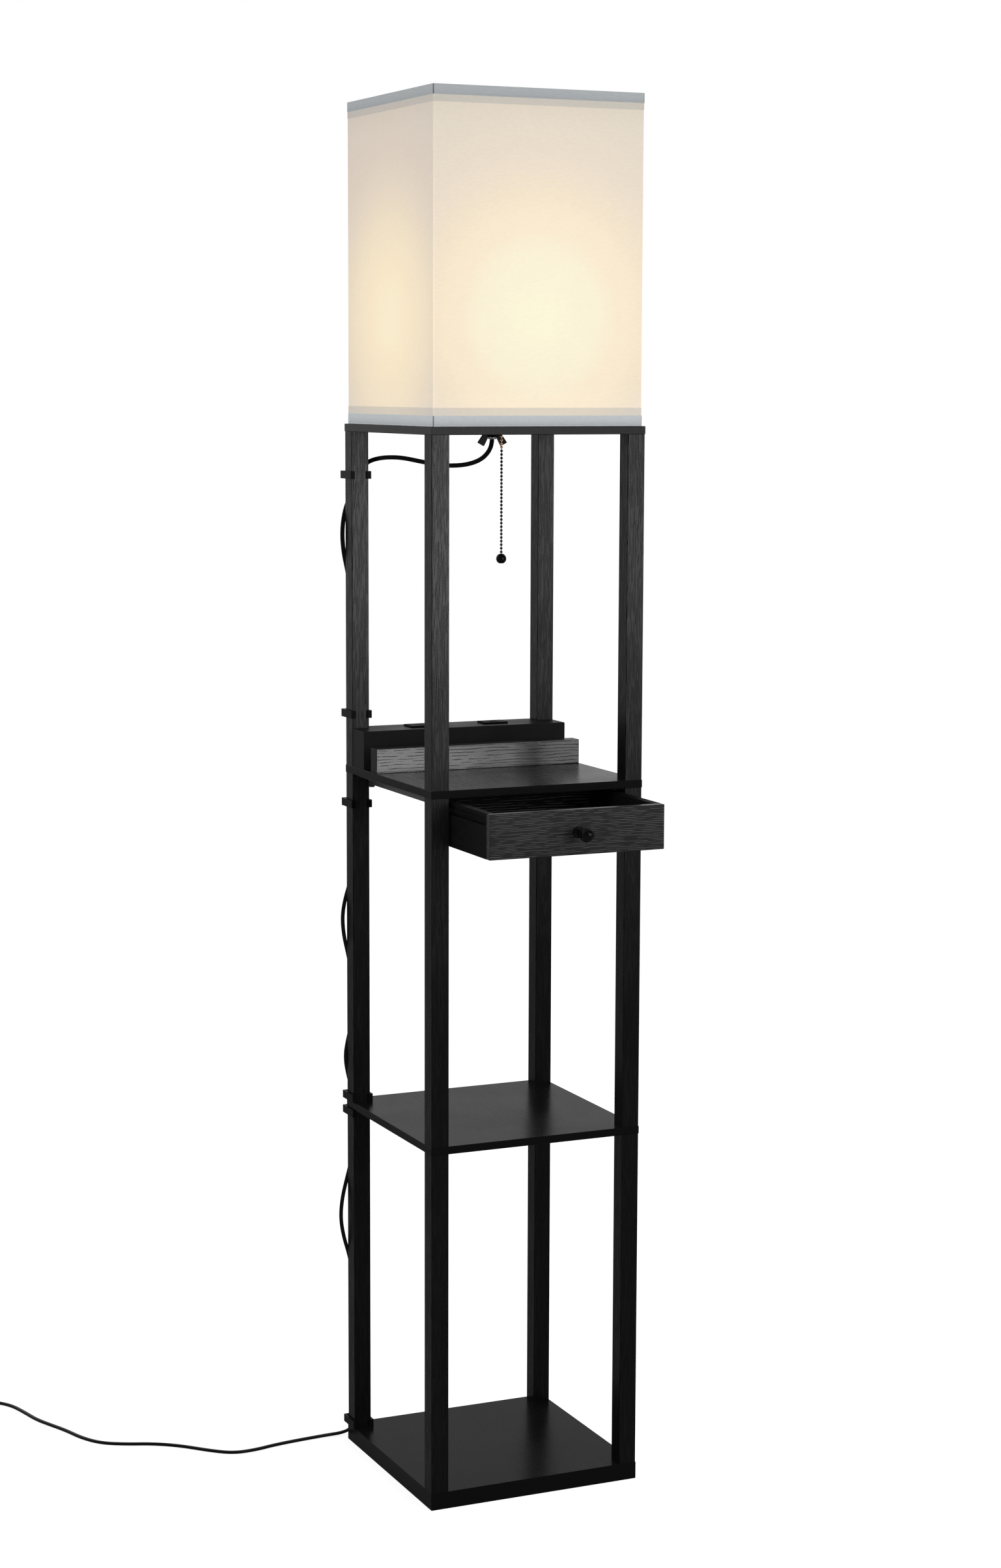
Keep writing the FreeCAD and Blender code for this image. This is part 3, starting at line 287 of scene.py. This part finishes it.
postWood = grainFinish("postWood", "z", changes={
    "sideShadeShare": 0.25, "sheen": 0.22, "sheenRoughness": 0.28})
boardLaminate = grainFinish("boardLaminate", "y", edgeTone=0.034, changes={
    "spacing": 0.0024, "dashAlong": 30.0, "tone": 0.008, "poreTone": 0.004, "shadedFootTone": 0.6,
    "roughness": 0.24, "level": 0.020, "poreDepth": 0.00002, "poreDull": 0.05})
# painted highlight: the pale pore tone stands for the light caught on the edges of the pores
drawerFace = grainFinish("drawerFace", "x", changes={
    "spacing": 0.0018, "wander": 1.2, "dashAlong": 52.0, "tone": 0.014, "poreTone": 0.105,
    "shadedFootTone": 1.0, "lineFrom": 0.62, "lineTo": 1.0, "dashFrom": 0.40, "dashTo": 0.54,
    "poreDepth": 0.00008, "poreDull": 0.0, "sheen": 0.15, "poreBare": 0.0, "sheenRoughness": 0.22})
drawerSideWood = grainFinish("drawerSideWood", "y", changes={
    "spacing": 0.0027, "wander": 0.6, "dashAlong": 48.0, "tone": 0.0045, "poreTone": 0.011,
    "shadedFootTone": 1.0, "lineFrom": 0.50, "lineTo": 0.95, "roughness": 0.5, "level": 0.015})
# painted reflection: the pale pore tone stands for light from the front caught in the pores
drawerBackWood = grainFinish("drawerBackWood", "x", changes={
    "spacing": 0.0030, "wander": 0.9, "dashAlong": 40.0, "tone": 0.006, "poreTone": 0.14,
    "shadedFootTone": 1.0, "lineFrom": 0.45, "lineTo": 0.95, "roughness": 0.4, "level": 0.03})
standBarFace = grainFinish("standBarFace", "x", changes={
    "spacing": 0.0036, "wander": 0.8, "dashAlong": 60.0, "tone": 0.008, "poreTone": 0.004,
    "shadedFootTone": 1.0, "lineFrom": 0.55, "lineTo": 1.0, "roughness": 0.3, "level": 0.03,
    "poreDepth": 0.00002, "sheen": 1.0, "sheenIndex": 2.0, "sheenRoughness": 0.24, "poreBare": 0.8})


plasticSmear = {"scale": 22.0, "tone": 0.12, "roughness": 0.04}


# moulded or painted black: fine pebbles, and broad smears that dull it in places
def mouldedPlastic(name, tone, roughness, level, pebble=1500.0, depth=0.00006):
    def build(recipe):
        place = recipe.place()
        pebbles = recipe.noise(place, pebble, 2.0)
        smear = recipe.noise(place, plasticSmear["scale"], 3.0)
        spread, swing = plasticSmear["tone"], plasticSmear["roughness"]
        base = recipe.blend(recipe.ease(smear, 0.3, 0.7),
                            colour(tone * (1 - spread)), colour(tone * (1 + spread)))
        return {"Base Color": base, "Specular IOR Level": level,
                "Roughness": recipe.ease(smear, 0.3, 0.7, roughness - swing, roughness + swing),
                "Normal": recipe.bump(pebbles, 0.5, depth)}
    return finish(name, build)


boxPlastic = mouldedPlastic("boxPlastic", 0.011, 0.42, 0.02)
runnerPlastic = mouldedPlastic("runnerPlastic", 0.030, 0.42, 0.2)
glossPlastic = mouldedPlastic("glossPlastic", 0.003, 0.12, 0.08, 700.0, 0.000004)
modulePlastic = mouldedPlastic("modulePlastic", 0.003, 0.5, 0.01)
clipPlastic = mouldedPlastic("clipPlastic", 0.004, 0.32, 0.02, 900.0, 0.00002)
cordVinyl = mouldedPlastic("cordVinyl", 0.004, 0.24, 0.08, 900.0, 0.00002)
boardGreen = mouldedPlastic("boardGreen", 0.05, 0.4, 0.4)
blackPaint = mouldedPlastic("blackPaint", 0.003, 0.16, 0.05, 500.0, 0.00001)

metalWear = {"scale": 260.0, "worn": 0.8, "scuffDepth": 0.00002, "threadDepth": 0.0002}


# bare metal with small scuffs, and a thread pressed into it where it has one
def metal(name, tint, roughness, threadPitch=None):
    def build(recipe):
        place = recipe.place()
        scuff = recipe.noise(place, metalWear["scale"], 3.0)
        worn = [part * metalWear["worn"] for part in tint]
        values = {"Base Color": recipe.blend(recipe.ease(scuff, 0.35, 0.7), colour(*tint), colour(*worn)),
                  "Metallic": 1.0,
                  "Roughness": recipe.ease(scuff, 0.3, 0.7, roughness - 0.05, roughness + 0.08)}
        if threadPitch:
            turns = recipe.parts(place)[2] * (2 * math.pi / threadPitch)
            height = turns.math("SINE") + scuff * 0.2
            values["Normal"] = recipe.bump(height, 0.8, metalWear["threadDepth"])
        else:
            values["Normal"] = recipe.bump(scuff, 0.3, metalWear["scuffDepth"])
        return values
    return finish(name, build)


zincSteel = metal("zincSteel", (0.62, 0.62, 0.64), 0.28)
nippleSteel = metal("nippleSteel", (0.75, 0.76, 0.78), 0.18, threadPitch=0.001)
satinBrass = metal("satinBrass", (0.78, 0.58, 0.28), 0.28)
nickel = metal("nickel", (0.76, 0.74, 0.70), 0.2)
copperTint = (0.80, 0.45, 0.26)
copperBead = metal("copperBead", copperTint, 0.2)

# the chain is black, with bare copper beads at its top
chainLook = {"copperAbove": 1.1985, "fade": 0.0012, "black": (0.010, 0.009, 0.008), "scuffScale": 900.0}


def buildChain(recipe):
    place = recipe.place()
    height = recipe.parts(place)[2]
    low = chainLook["copperAbove"]
    copper = recipe.ease(height, low - chainLook["fade"], low + chainLook["fade"])
    scuff = recipe.noise(place, chainLook["scuffScale"], 2.0)
    base = recipe.blend(copper, colour(*chainLook["black"]), colour(*copperTint))
    return {"Base Color": base, "Metallic": copper, "Specular IOR Level": 0.28,
            "Roughness": recipe.ease(scuff, 0.3, 0.7, 0.14, 0.26)}


beadChain = finish("beadChain", buildChain)


def buildBareWood(recipe):
    pore = grainPores(recipe, "x", grainSettings)
    cloud = recipe.noise(recipe.place(), 40.0, 2.0)
    base = recipe.blend(pore * 0.6, colour(0.55, 0.38, 0.22), colour(0.38, 0.24, 0.12))
    return {"Base Color": base, "Roughness": 0.6 + cloud * 0.1}


bareBeech = finish("bareBeech", buildBareWood)


def buildWhiteWire(recipe):
    chips = recipe.noise(recipe.place(), 400.0, 3.0)
    base = recipe.blend(recipe.ease(chips, 0.4, 0.7), colour(0.78, 0.78, 0.76), colour(0.68, 0.68, 0.66))
    return {"Base Color": base, "Roughness": recipe.ease(chips, 0.3, 0.7, 0.35, 0.45),
            "Normal": recipe.bump(chips, 0.2, 0.00005)}


whiteWire = finish("whiteWire", buildWhiteWire)

# the lamp is on: the bulb glows, less at its neck
bulbLook = {"neck": 1.284, "belly": 1.330, "frostScale": 800.0, "strength": 1.6}


def buildBulbGlass(recipe):
    place = recipe.place()
    frost = recipe.noise(place, bulbLook["frostScale"], 2.0)
    height = recipe.parts(place)[2]
    lit = recipe.ease(height, bulbLook["neck"], bulbLook["belly"])
    glow = recipe.blend(lit, colour(0.75, 0.50, 0.25), colour(1.0, 0.93, 0.74))
    return {"Base Color": recipe.blend(frost, colour(0.90, 0.88, 0.84), colour(0.82, 0.80, 0.76)),
            "Roughness": recipe.ease(frost, 0.3, 0.7, 0.3, 0.4), "Emission Color": glow,
            "Emission Strength": bulbLook["strength"]}


bulbGlass = finish("bulbGlass", buildBulbGlass)

# fabric of the shade: woven white cloth, lit from within round the bulb
shadeLook = {
    "side": 0.254,
    "cloth": (0.43, 0.455, 0.468),
    "paintedFootLight": 1.3,           # painted light: the lower hem is painted a little paler than the upper one
    "bulb": (0.0, 0.0, 1.344),
    "nearest": 0.127,
    "farthest": 0.290,
    "hemTop": 0.0110,
    "tapeTop": 0.0186,
    "hemFoot": 0.0118,
    "tapeFoot": 0.0204,
    "trim": 0.0011,            # pale edge below the lower hem
    "trimLift": 0.6,
    "tapeShow": 0.58,          # share of the bulb's light that gets through the tape under the hem
    "seamShow": 1.25,
    "seamTone": 0.35,
    "thread": 0.0005,
    "blur": 0.0003,            # half width of the fade at the edge of a hem or a tape
    "slubScale": (160.0, 160.0, 700.0),
    "mottleScale": 45.0,
    # distance from the bulb and what shines through there, on the front and back, then on the sides
    "frontGlow": (
        (0.127, (0.600, 0.530, 0.290)),
        (0.134, (0.590, 0.500, 0.275)),
        (0.146, (0.582, 0.482, 0.265)),
        (0.158, (0.578, 0.428, 0.222)),
        (0.171, (0.570, 0.415, 0.212)),
        (0.184, (0.530, 0.378, 0.190)),
        (0.204, (0.475, 0.342, 0.190)),
        (0.226, (0.435, 0.312, 0.184)),
        (0.246, (0.410, 0.302, 0.177)),
        (0.290, (0.370, 0.280, 0.160)),
    ),
    "sideGlow": (
        (0.127, (0.590, 0.460, 0.225)),
        (0.138, (0.578, 0.420, 0.188)),
        (0.146, (0.555, 0.400, 0.186)),
        (0.160, (0.515, 0.374, 0.178)),
        (0.175, (0.470, 0.330, 0.164)),
        (0.196, (0.400, 0.284, 0.158)),
        (0.218, (0.360, 0.245, 0.138)),
        (0.241, (0.330, 0.228, 0.134)),
        (0.290, (0.290, 0.205, 0.120)),
    ),
}
shadeFoot, shadeTop = (corner.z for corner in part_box("shade_fabric"))


def buildShadeCloth(recipe):
    look = shadeLook
    place = recipe.place()
    x, y, height = recipe.parts(place)
    sideX, sideY, _ = recipe.facing()
    away = recipe.add("ShaderNodeVectorMath", {"operation": "DISTANCE"}, {0: place, 1: look["bulb"]},
                      out="Value")
    span = look["farthest"] - look["nearest"]
    share = (away - look["nearest"]) / span

    def glowOf(table):
        return recipe.ramp(share, [((distance - look["nearest"]) / span, glow) for distance, glow in table])

    glow = recipe.blend(recipe.ease(sideX, 0.3, 0.9), glowOf(look["frontGlow"]), glowOf(look["sideGlow"]))
    seam = recipe.ease(sideX.math("MINIMUM", sideY), 0.30, 0.45)
    fromTop = shadeTop - height
    fromFoot = height - shadeFoot

    def pastLine(distance, line):
        return recipe.ease(distance, line - look["blur"], line + look["blur"])

    aboveHem = pastLine(fromFoot, look["hemFoot"])
    uncovered = pastLine(fromTop, look["hemTop"]) * aboveHem
    bare = pastLine(fromTop, look["tapeTop"]) * pastLine(fromFoot, look["tapeFoot"])
    through = uncovered * (look["tapeShow"] + (1 - look["tapeShow"]) * bare)
    through = through * (1 + (look["seamShow"] - 1) * seam)
    trim = 1 - pastLine(fromFoot, look["trim"])
    slub = recipe.noise(recipe.scaled(place, look["slubScale"]), 1.0, 3.0)
    mottle = recipe.noise(place, look["mottleScale"], 3.0)
    even = recipe.ease(slub, 0.3, 0.7, 0.995, 1.005) * recipe.ease(mottle, 0.3, 0.7, 0.992, 1.008)
    emission = recipe.dimmed(glow, through * even)
    # painted light on the lower hem, and the pale trim, raise the cloth's tone
    lift = 1 + (look["paintedFootLight"] - 1) * (1 - aboveHem) + trim * look["trimLift"]
    tone = lift * (1 - (1 - look["seamTone"]) * seam * (1 - uncovered))
    tone = tone * recipe.ease(slub, 0.3, 0.7, 0.97, 1.03)
    base = recipe.dimmed(look["cloth"], tone)
    turns = 2 * math.pi / look["thread"]
    warp = ((x + y) * turns).math("SINE") * (height * turns).math("SINE")
    return {"Base Color": base, "Roughness": recipe.ease(slub, 0.3, 0.7, 0.75, 0.9),
            "Specular IOR Level": 0.2, "Emission Color": emission, "Emission Strength": 1.0,
            "Normal": recipe.bump(warp + slub * 0.6, 0.25, 0.0001)}


shadeCloth = finish("shadeCloth", buildShadeCloth)
print("materials ready:", len(bpy.data.materials))

# what each CAD node is finished with
finishes = {
    postWood: ["%s_post_%s" % (tier, corner) for tier in ("lower", "middle", "upper")
               for corner in ("front_left", "front_right", "rear_left", "rear_right")],
    boardLaminate: ["base_board", "middle_shelf", "drawer_shelf", "top_board"],
    drawerFace: ["drawer_front"],
    drawerSideWood: ["drawer_left_side", "drawer_right_side", "drawer_bottom"],
    drawerBackWood: ["drawer_back"],
    bareBeech: ["drawer_dowels"],
    standBarFace: ["stand_bar"],
    boxPlastic: ["charger_housing", "charger_base", "switch_plunger"],
    runnerPlastic: ["left_runner", "right_runner"],
    glossPlastic: ["drawer_knob", "pull_ball", "socket_body"],
    modulePlastic: ["outlet_module", "usb_module"],
    clipPlastic: ["cable_clips"],
    cordVinyl: ["mains_strain_relief", "lamp_lead_grommet", "mains_plug",
                "lamp_cord", "mains_cord", "cord_coil"],
    boardGreen: ["usb_board"],
    zincSteel: ["post_screws", "shelf_studs", "post_inserts", "runner_screws", "shelf_screws",
                "knob_screw"],
    nippleSteel: ["threaded_nipple"],
    satinBrass: ["outlet_contacts", "socket_cap", "socket_shell", "socket_contacts"],
    nickel: ["bulb_cap", "plug_blades"],
    blackPaint: ["wing_nut"],
    copperBead: ["upper_pull_chain"],
    beadChain: ["lower_pull_chain"],
    whiteWire: ["shade_frame"],
    bulbGlass: ["bulb_globe"],
    shadeCloth: ["shade_fabric"],
}


def dressNodes():
    left = set(nodes)
    for material, names in finishes.items():
        for name in names:
            for slot in nodes[name].material_slots:
                slot.link = "DATA"
                slot.material = material
        left.difference_update(names)
    print("nodes dressed, left over:", sorted(left))


dressNodes()


# the faces between one ring of points and the next
def ringFaces(ring, nextRing, count):
    for k in range(count):
        n = (k + 1) % count
        yield (ring * count + k, ring * count + n, nextRing * count + n, nextRing * count + k)


def meshPiece(name, verts, faces, material):
    mesh = bpy.data.meshes.new(name)
    mesh.from_pydata(verts, [], faces)
    mesh.validate()
    mesh.materials.append(material)
    for polygon in mesh.polygons:
        polygon.use_smooth = True
    piece = bpy.data.objects.new(name, mesh)
    bpy.context.scene.collection.objects.link(piece)
    return piece


# the shade's sleeve: cloth over tape and hems, each layer a little proud of the next
sleeveShape = {
    "cornerRadius": 0.002,
    "cornerSteps": 6,
    "straightSteps": 24,
    "thickness": 0.0010,
    "layer": 0.00022,
    "step": 0.0004,            # height over which one layer gives way to the next
    "lip": 0.0003,             # rounding of the rims
    "rises": 14,
    "ripple": 0.00018,
    "ripplesAcross": 9,
    "ripplesUp": 31,
}


# points round a square with rounded corners, each with its share of the way along its side
def squareOutline(half, radius, cornerSteps, straightSteps):
    points = []
    centre = Vector((half - radius, -half + radius, 0))
    for quarter in range(4):
        spin = Matrix.Rotation(quarter * math.pi / 2, 3, "Z")
        for step in range(straightSteps):
            share = step / straightSteps
            along = -half + radius + share * 2 * (half - radius)
            points.append((spin @ Vector((along, -half, 0)), share))
        for step in range(cornerSteps):
            angle = -math.pi / 2 + math.pi / 2 * step / cornerSteps
            towards = Vector((math.cos(angle), math.sin(angle), 0))
            points.append((spin @ (centre + radius * towards), 0.0))
    return points


def makeSleeve(shape, look):
    half, thick = look["side"] / 2, shape["thickness"]
    layer, step, lip = shape["layer"], shape["step"], shape["lip"]
    foot, top = shadeFoot, shadeTop
    hemTop, tapeTop = top - look["hemTop"], top - look["tapeTop"]
    hemFoot, tapeFoot = foot + look["hemFoot"], foot + look["tapeFoot"]
    rings = [(lip, foot), (0.0, foot + step), (0.0, hemFoot - step), (layer, hemFoot),
             (layer, tapeFoot - step), (2 * layer, tapeFoot)]
    for k in range(1, shape["rises"]):
        rings.append((2 * layer, tapeFoot + (tapeTop - tapeFoot) * k / shape["rises"]))
    rings += [(2 * layer, tapeTop), (layer, tapeTop + step), (layer, hemTop), (0.0, hemTop + step),
              (0.0, top - step), (lip, top)]
    rings += [(thick - lip, top), (thick, top - step), (thick, (foot + top) / 2), (thick, foot + step),
              (thick - lip, foot)]
    rim = squareOutline(half, shape["cornerRadius"], shape["cornerSteps"], shape["straightSteps"])
    verts = []
    for inset, height in rings:
        scale = (half - inset) / half
        for point, share in rim:
            phase = shape["ripplesAcross"] * share + shape["ripplesUp"] * height
            wave = shape["ripple"] * math.sin(share * math.pi) * math.sin(phase)
            outward = Vector((0, round(point.y / half), 0))
            if share == 0:
                outward = point.normalized()
            elif abs(point.x) >= abs(point.y):
                outward = Vector((round(point.x / half), 0, 0))
            verts.append(Vector((point.x * scale, point.y * scale, height)) - outward * abs(wave))
    faces = []
    for ring in range(len(rings)):
        faces += ringFaces(ring, (ring + 1) % len(rings), len(rim))
    sleeve = meshPiece("shadeSleeve", verts, faces, shadeCloth)
    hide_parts("shade_fabric")
    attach(sleeve, "frame")


makeSleeve(sleeveShape, shadeLook)
print("shade sleeve made")

# cords: flat twin flex along the same routes as the tubes
postBack = 0.1327              # y of a cord held against the rear left post
leadY = 0.1342                 # y of the two fittings on the box's back
floorRise = 0.0022             # height of a cord's middle where it lies on the floor
lampLead = {
    "width": 0.0052,
    "thickness": 0.0028,
    "length": 0.532,
    "flatTowards": (-0.41, -0.91, 0.0),
    "route": [
        (0, 0, 1.214), (0, 0, 1.205), (-0.0022, 0.0026, 1.1955), (-0.0076, 0.0087, 1.187),
        (-0.0155, 0.0177, 1.1814), (-0.0265, 0.0303, 1.1782), (-0.041, 0.0469, 1.1778),
        (-0.058, 0.0663, 1.1816), (-0.076, 0.0865, 1.1864), (-0.089, 0.102, 1.1864),
        (-0.0965, 0.1125, 1.1846), (-0.1013, 0.1223, 1.1818), (-0.1048, 0.1303, 1.1772),
        (-0.1109, 0.1339, 1.171), (-0.1142, 0.1332, 1.1615), (-0.1176, postBack, 1.152),
        (-0.1226, postBack, 1.14), (-0.1293, postBack, 1.123), (-0.1324, postBack, 1.1),
        (-0.1308, postBack, 1.076), (-0.1253, postBack, 1.052), (-0.12, postBack, 1.022),
        (-0.1183, postBack, 0.984), (-0.1196, postBack, 0.945), (-0.1186, postBack, 0.915),
        (-0.1192, postBack, 0.895), (-0.1182, 0.1332, 0.882), (-0.1145, leadY, 0.871),
        (-0.108, leadY, 0.8625), (-0.1, leadY, 0.858), (-0.092, leadY, 0.858)],
}
mainsLead = {
    "width": 0.0046,
    "thickness": 0.0039,
    "length": 2.52,
    "flatTowards": (-0.6, -0.8, 0.0),
    "route": [
        (-0.098, leadY, 0.812), (-0.0983, leadY, 0.8052), (-0.101, 0.134, 0.799), (-0.106, 0.1336, 0.7935),
        (-0.1115, 0.1332, 0.7875), (-0.1154, 0.133, 0.778), (-0.118, postBack, 0.766),
        (-0.1192, postBack, 0.752), (-0.1184, postBack, 0.732), (-0.1196, postBack, 0.707),
        (-0.124, postBack, 0.684), (-0.1305, postBack, 0.664), (-0.1339, postBack, 0.644),
        (-0.1322, postBack, 0.621), (-0.1265, postBack, 0.597), (-0.121, postBack, 0.57),
        (-0.1198, postBack, 0.541), (-0.1222, postBack, 0.513), (-0.1278, postBack, 0.493),
        (-0.131, postBack, 0.473), (-0.1274, postBack, 0.451), (-0.1218, postBack, 0.433),
        (-0.1192, postBack, 0.414), (-0.1194, postBack, 0.391), (-0.1203, postBack, 0.368),
        (-0.1234, postBack, 0.345), (-0.1296, postBack, 0.323), (-0.1354, postBack, 0.3),
        (-0.1376, postBack, 0.276), (-0.1336, postBack, 0.252), (-0.1268, postBack, 0.23),
        (-0.1212, postBack, 0.203), (-0.1188, postBack, 0.168), (-0.1196, postBack, 0.128),
        (-0.1187, postBack, 0.09), (-0.1193, postBack, 0.06), (-0.119, postBack, 0.041),
        (-0.1192, 0.1332, 0.026), (-0.121, 0.1354, 0.014), (-0.1265, 0.1395, 0.0066),
        (-0.136, 0.1435, 0.0033), (-0.149, 0.1455, 0.0025), (-0.168, 0.145, floorRise),
        (-0.192, 0.143, floorRise), (-0.221, 0.1394, floorRise), (-0.249, 0.1326, floorRise),
        (-0.276, 0.133, floorRise), (-0.299, 0.152, floorRise), (-0.325, 0.181, floorRise),
        (-0.353, 0.2015, floorRise), (-0.385, 0.214, floorRise), (-0.411, 0.2295, floorRise),
        (-0.427, 0.256, floorRise), (-0.4375, 0.29, floorRise), (-0.449, 0.316, floorRise),
        (-0.4595, 0.341, floorRise), (-0.466, 0.372, floorRise), (-0.4735, 0.402, floorRise),
        (-0.487, 0.422, floorRise), (-0.505, 0.4335, floorRise), (-0.523, 0.437, floorRise),
        (-0.540, 0.437, floorRise)],
    "coilCentre": (-0.5444, 0.471),
    "coilRadius": 0.034,
    "coilPitch": 0.005,
    "coilTurns": 7,
    "turnsPerLayer": 3.25,
    "climbTurns": 0.5,
    "layerRise": 0.0054,
    "pointsPerTurn": 16,
    "intoPlug": 0.0044,
}
flexShape = {
    "sides": 20,
    "roundness": 0.75,
    "grooveDepth": 0.26,
    "grooveWidth": 0.13,       # share of the flex's width
    "liesBelow": 0.030,        # the flex turns flat side down between these heights
    "liesFlat": 0.004,
}


def easedShare(value, low, high):
    share = min(max((value - low) / (high - low), 0), 1)
    return share * share * (3 - 2 * share)


# the spare cord winds inwards on the floor and outwards on top of that, and ends at the plug
def coilPoints(lead):
    centre = Vector((*lead["coilCentre"], floorRise))
    turns, climbFrom = lead["coilTurns"], lead["turnsPerLayer"]
    points = []
    for k in range(turns * lead["pointsPerTurn"] + 1):
        turn = k / lead["pointsPerTurn"]
        radius = lead["coilRadius"] - lead["coilPitch"] * min(turn, turns - turn)
        angle = -math.pi / 2 - 2 * math.pi * turn
        rise = lead["layerRise"] * easedShare(turn, climbFrom, climbFrom + lead["climbTurns"])
        points.append(centre + Vector((radius * math.cos(angle), radius * math.sin(angle), rise)))
    points.append(points[-1] - Vector((lead["intoPlug"], 0, 0)))
    return points


# a smooth run of points through a route, by way of a curve that is taken away again
def smoothLine(name, route):
    curve = bpy.data.curves.new(name + "Line", "CURVE")
    curve.dimensions = "3D"
    curve.resolution_u = 8
    spline = curve.splines.new("NURBS")
    spline.points.add(len(route) - 1)
    for point, place in zip(spline.points, route):
        point.co = (*place, 1)
    spline.order_u = 3
    spline.use_endpoint_u = True
    holder = bpy.data.objects.new(name + "Line", curve)
    line = bpy.data.meshes.new_from_object(holder)
    points = [vertex.co.copy() for vertex in line.vertices]
    bpy.data.objects.remove(holder)
    bpy.data.meshes.remove(line)
    bpy.data.curves.remove(curve)
    return points


def flexProfile(shape, width, thickness):
    outline = []
    for k in range(shape["sides"]):
        angle = 2 * math.pi * (k + 0.5) / shape["sides"]
        across = width / 2 * math.cos(angle)
        bulge = math.copysign(abs(math.sin(angle)) ** shape["roundness"], math.sin(angle))
        groove = 1 - shape["grooveDepth"] * math.exp(-(across / (shape["grooveWidth"] * width)) ** 2)
        outline.append((across, thickness / 2 * bulge * groove))
    return outline


def makeFlex(name, lead, route):
    path = smoothLine(name, route)
    outline = flexProfile(flexShape, lead["width"], lead["thickness"])
    verts = []
    up = Vector((0, 0, 1))
    for k, place in enumerate(path):
        ahead = path[min(k + 1, len(path) - 1)] - path[max(k - 1, 0)]
        ahead.normalize()
        lying = 1 - easedShare(place.z, flexShape["liesFlat"], flexShape["liesBelow"])
        flat = Vector(lead["flatTowards"]) * (1 - lying) + up * lying
        flat = (flat - ahead * flat.dot(ahead)).normalized()
        side = ahead.cross(flat)
        for across, rise in outline:
            verts.append(place + side * across + flat * rise)
    sides, lastRing = len(outline), len(path) - 1
    faces = []
    for ring in range(lastRing):
        faces += ringFaces(ring, ring + 1, sides)
    faces.append(tuple(range(sides))[::-1])
    faces.append(tuple(lastRing * sides + k for k in range(sides)))
    piece = meshPiece(name, verts, faces, cordVinyl)
    return piece, path


lampFlex, lampPath = makeFlex("lampFlex", lampLead, lampLead["route"])
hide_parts("lamp_cord")
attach(lampFlex, "frame")
mainsRoute = mainsLead["route"] + coilPoints(mainsLead)
mainsFlex, mainsPath = makeFlex("mainsFlex", mainsLead, mainsRoute)
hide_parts("mains_cord", "cord_coil")
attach(mainsFlex, "frame")
print("cords made")

# plain studio: white floor and background, two soft lamps, and three cards that only gloss sees
studio = {
    "skyLevel": 0.68,
    "floorSize": 14.0,
    "floorColour": 0.36,
    "floorShow": 0.80,
    "frontGloss": 0.12,        # how much of the white gloss sees on the floor and in front
    "lamps": {                 # place, aim, size, watts
        "keySoftbox": ((1.3, -2.3, 1.9), (0, 0, 1.1), (1.0, 1.4), 24.0),
        "fillSoftbox": ((-2.6, -0.7, 1.5), (0, 0, 1.1), (1.2, 1.6), 22.0),
    },
    "cards": {
        "barCard": ((0.46, -2.15, 1.48), (0.46, -0.1, 1.48), (0.90, 0.90), 16.0),
        "leftCard": ((0.68, -2.15, 1.00), (0.68, -0.1, 1.00), (0.50, 0.56), 8.6),
        "rightCard": ((1.64, -2.15, 1.08), (1.64, -0.1, 1.08), (0.50, 0.56), 10.5),
    },
}


# what a ray comes from: the picture itself or glass, and gloss
def rayKinds(recipe):
    path = recipe.add("ShaderNodeLightPath", out="Is Camera Ray")
    outputs = path.socket.node.outputs
    shown = path.math("MAXIMUM", Flow(recipe, outputs["Is Transmission Ray"]))
    return shown, Flow(recipe, outputs["Is Glossy Ray"])


def makeWorld(setup):
    world = bpy.data.worlds.new("studioWorld")
    world.use_nodes = True
    bpy.context.scene.world = world
    recipe = Recipe(world.node_tree)
    shown, glossy = rayKinds(recipe)
    direction = recipe.add("ShaderNodeTexCoord", out="Generated")
    behind = recipe.ease(recipe.parts(direction)[1], -0.35, 0.15, setup["frontGloss"], 1.0)
    seen = shown.math("MAXIMUM", glossy * behind)
    unseen = (1 - shown) * (1 - glossy) * setup["skyLevel"]
    background = recipe.add("ShaderNodeBackground", values={
        "Color": colour(1.0), "Strength": seen + unseen})
    recipe.add("ShaderNodeOutputWorld", values={"Surface": background})


def makeFloor(setup):
    material = bpy.data.materials.new("floorPaper")
    material.use_nodes = True
    recipe = Recipe(material.node_tree)
    shown, glossy = rayKinds(recipe)
    paper = recipe.add("ShaderNodeBsdfDiffuse", values={"Color": colour(setup["floorColour"])})
    light = recipe.add("ShaderNodeEmission", values={
        "Color": colour(1.0), "Strength": (shown + glossy * setup["frontGloss"]) * setup["floorShow"]})
    both = recipe.add("ShaderNodeAddShader", values={0: paper, 1: light})
    recipe.add("ShaderNodeOutputMaterial", values={"Surface": both})
    half = setup["floorSize"] / 2
    corners = [(-half, -half, 0), (half, -half, 0), (half, half, 0), (-half, half, 0)]
    floor = meshPiece("studioFloor", corners, [(0, 1, 2, 3)], material)


def makeLamp(name, place, aim, size, watts):
    data = bpy.data.lights.new(name, "AREA")
    data.shape = "RECTANGLE"
    data.size, data.size_y = size
    data.energy = watts
    lamp = bpy.data.objects.new(name, data)
    bpy.context.scene.collection.objects.link(lamp)
    towards = Vector(aim) - Vector(place)
    lamp.matrix_world = Matrix.Translation(place) @ towards.to_track_quat("-Z", "Y").to_matrix().to_4x4()
    lamp.visible_camera = False
    return lamp


makeWorld(studio)
makeFloor(studio)
for lampName, setting in studio["lamps"].items():
    makeLamp(lampName, *setting).visible_glossy = False
for cardName, setting in studio["cards"].items():
    makeLamp(cardName, *setting).visible_diffuse = False
print("studio ready")
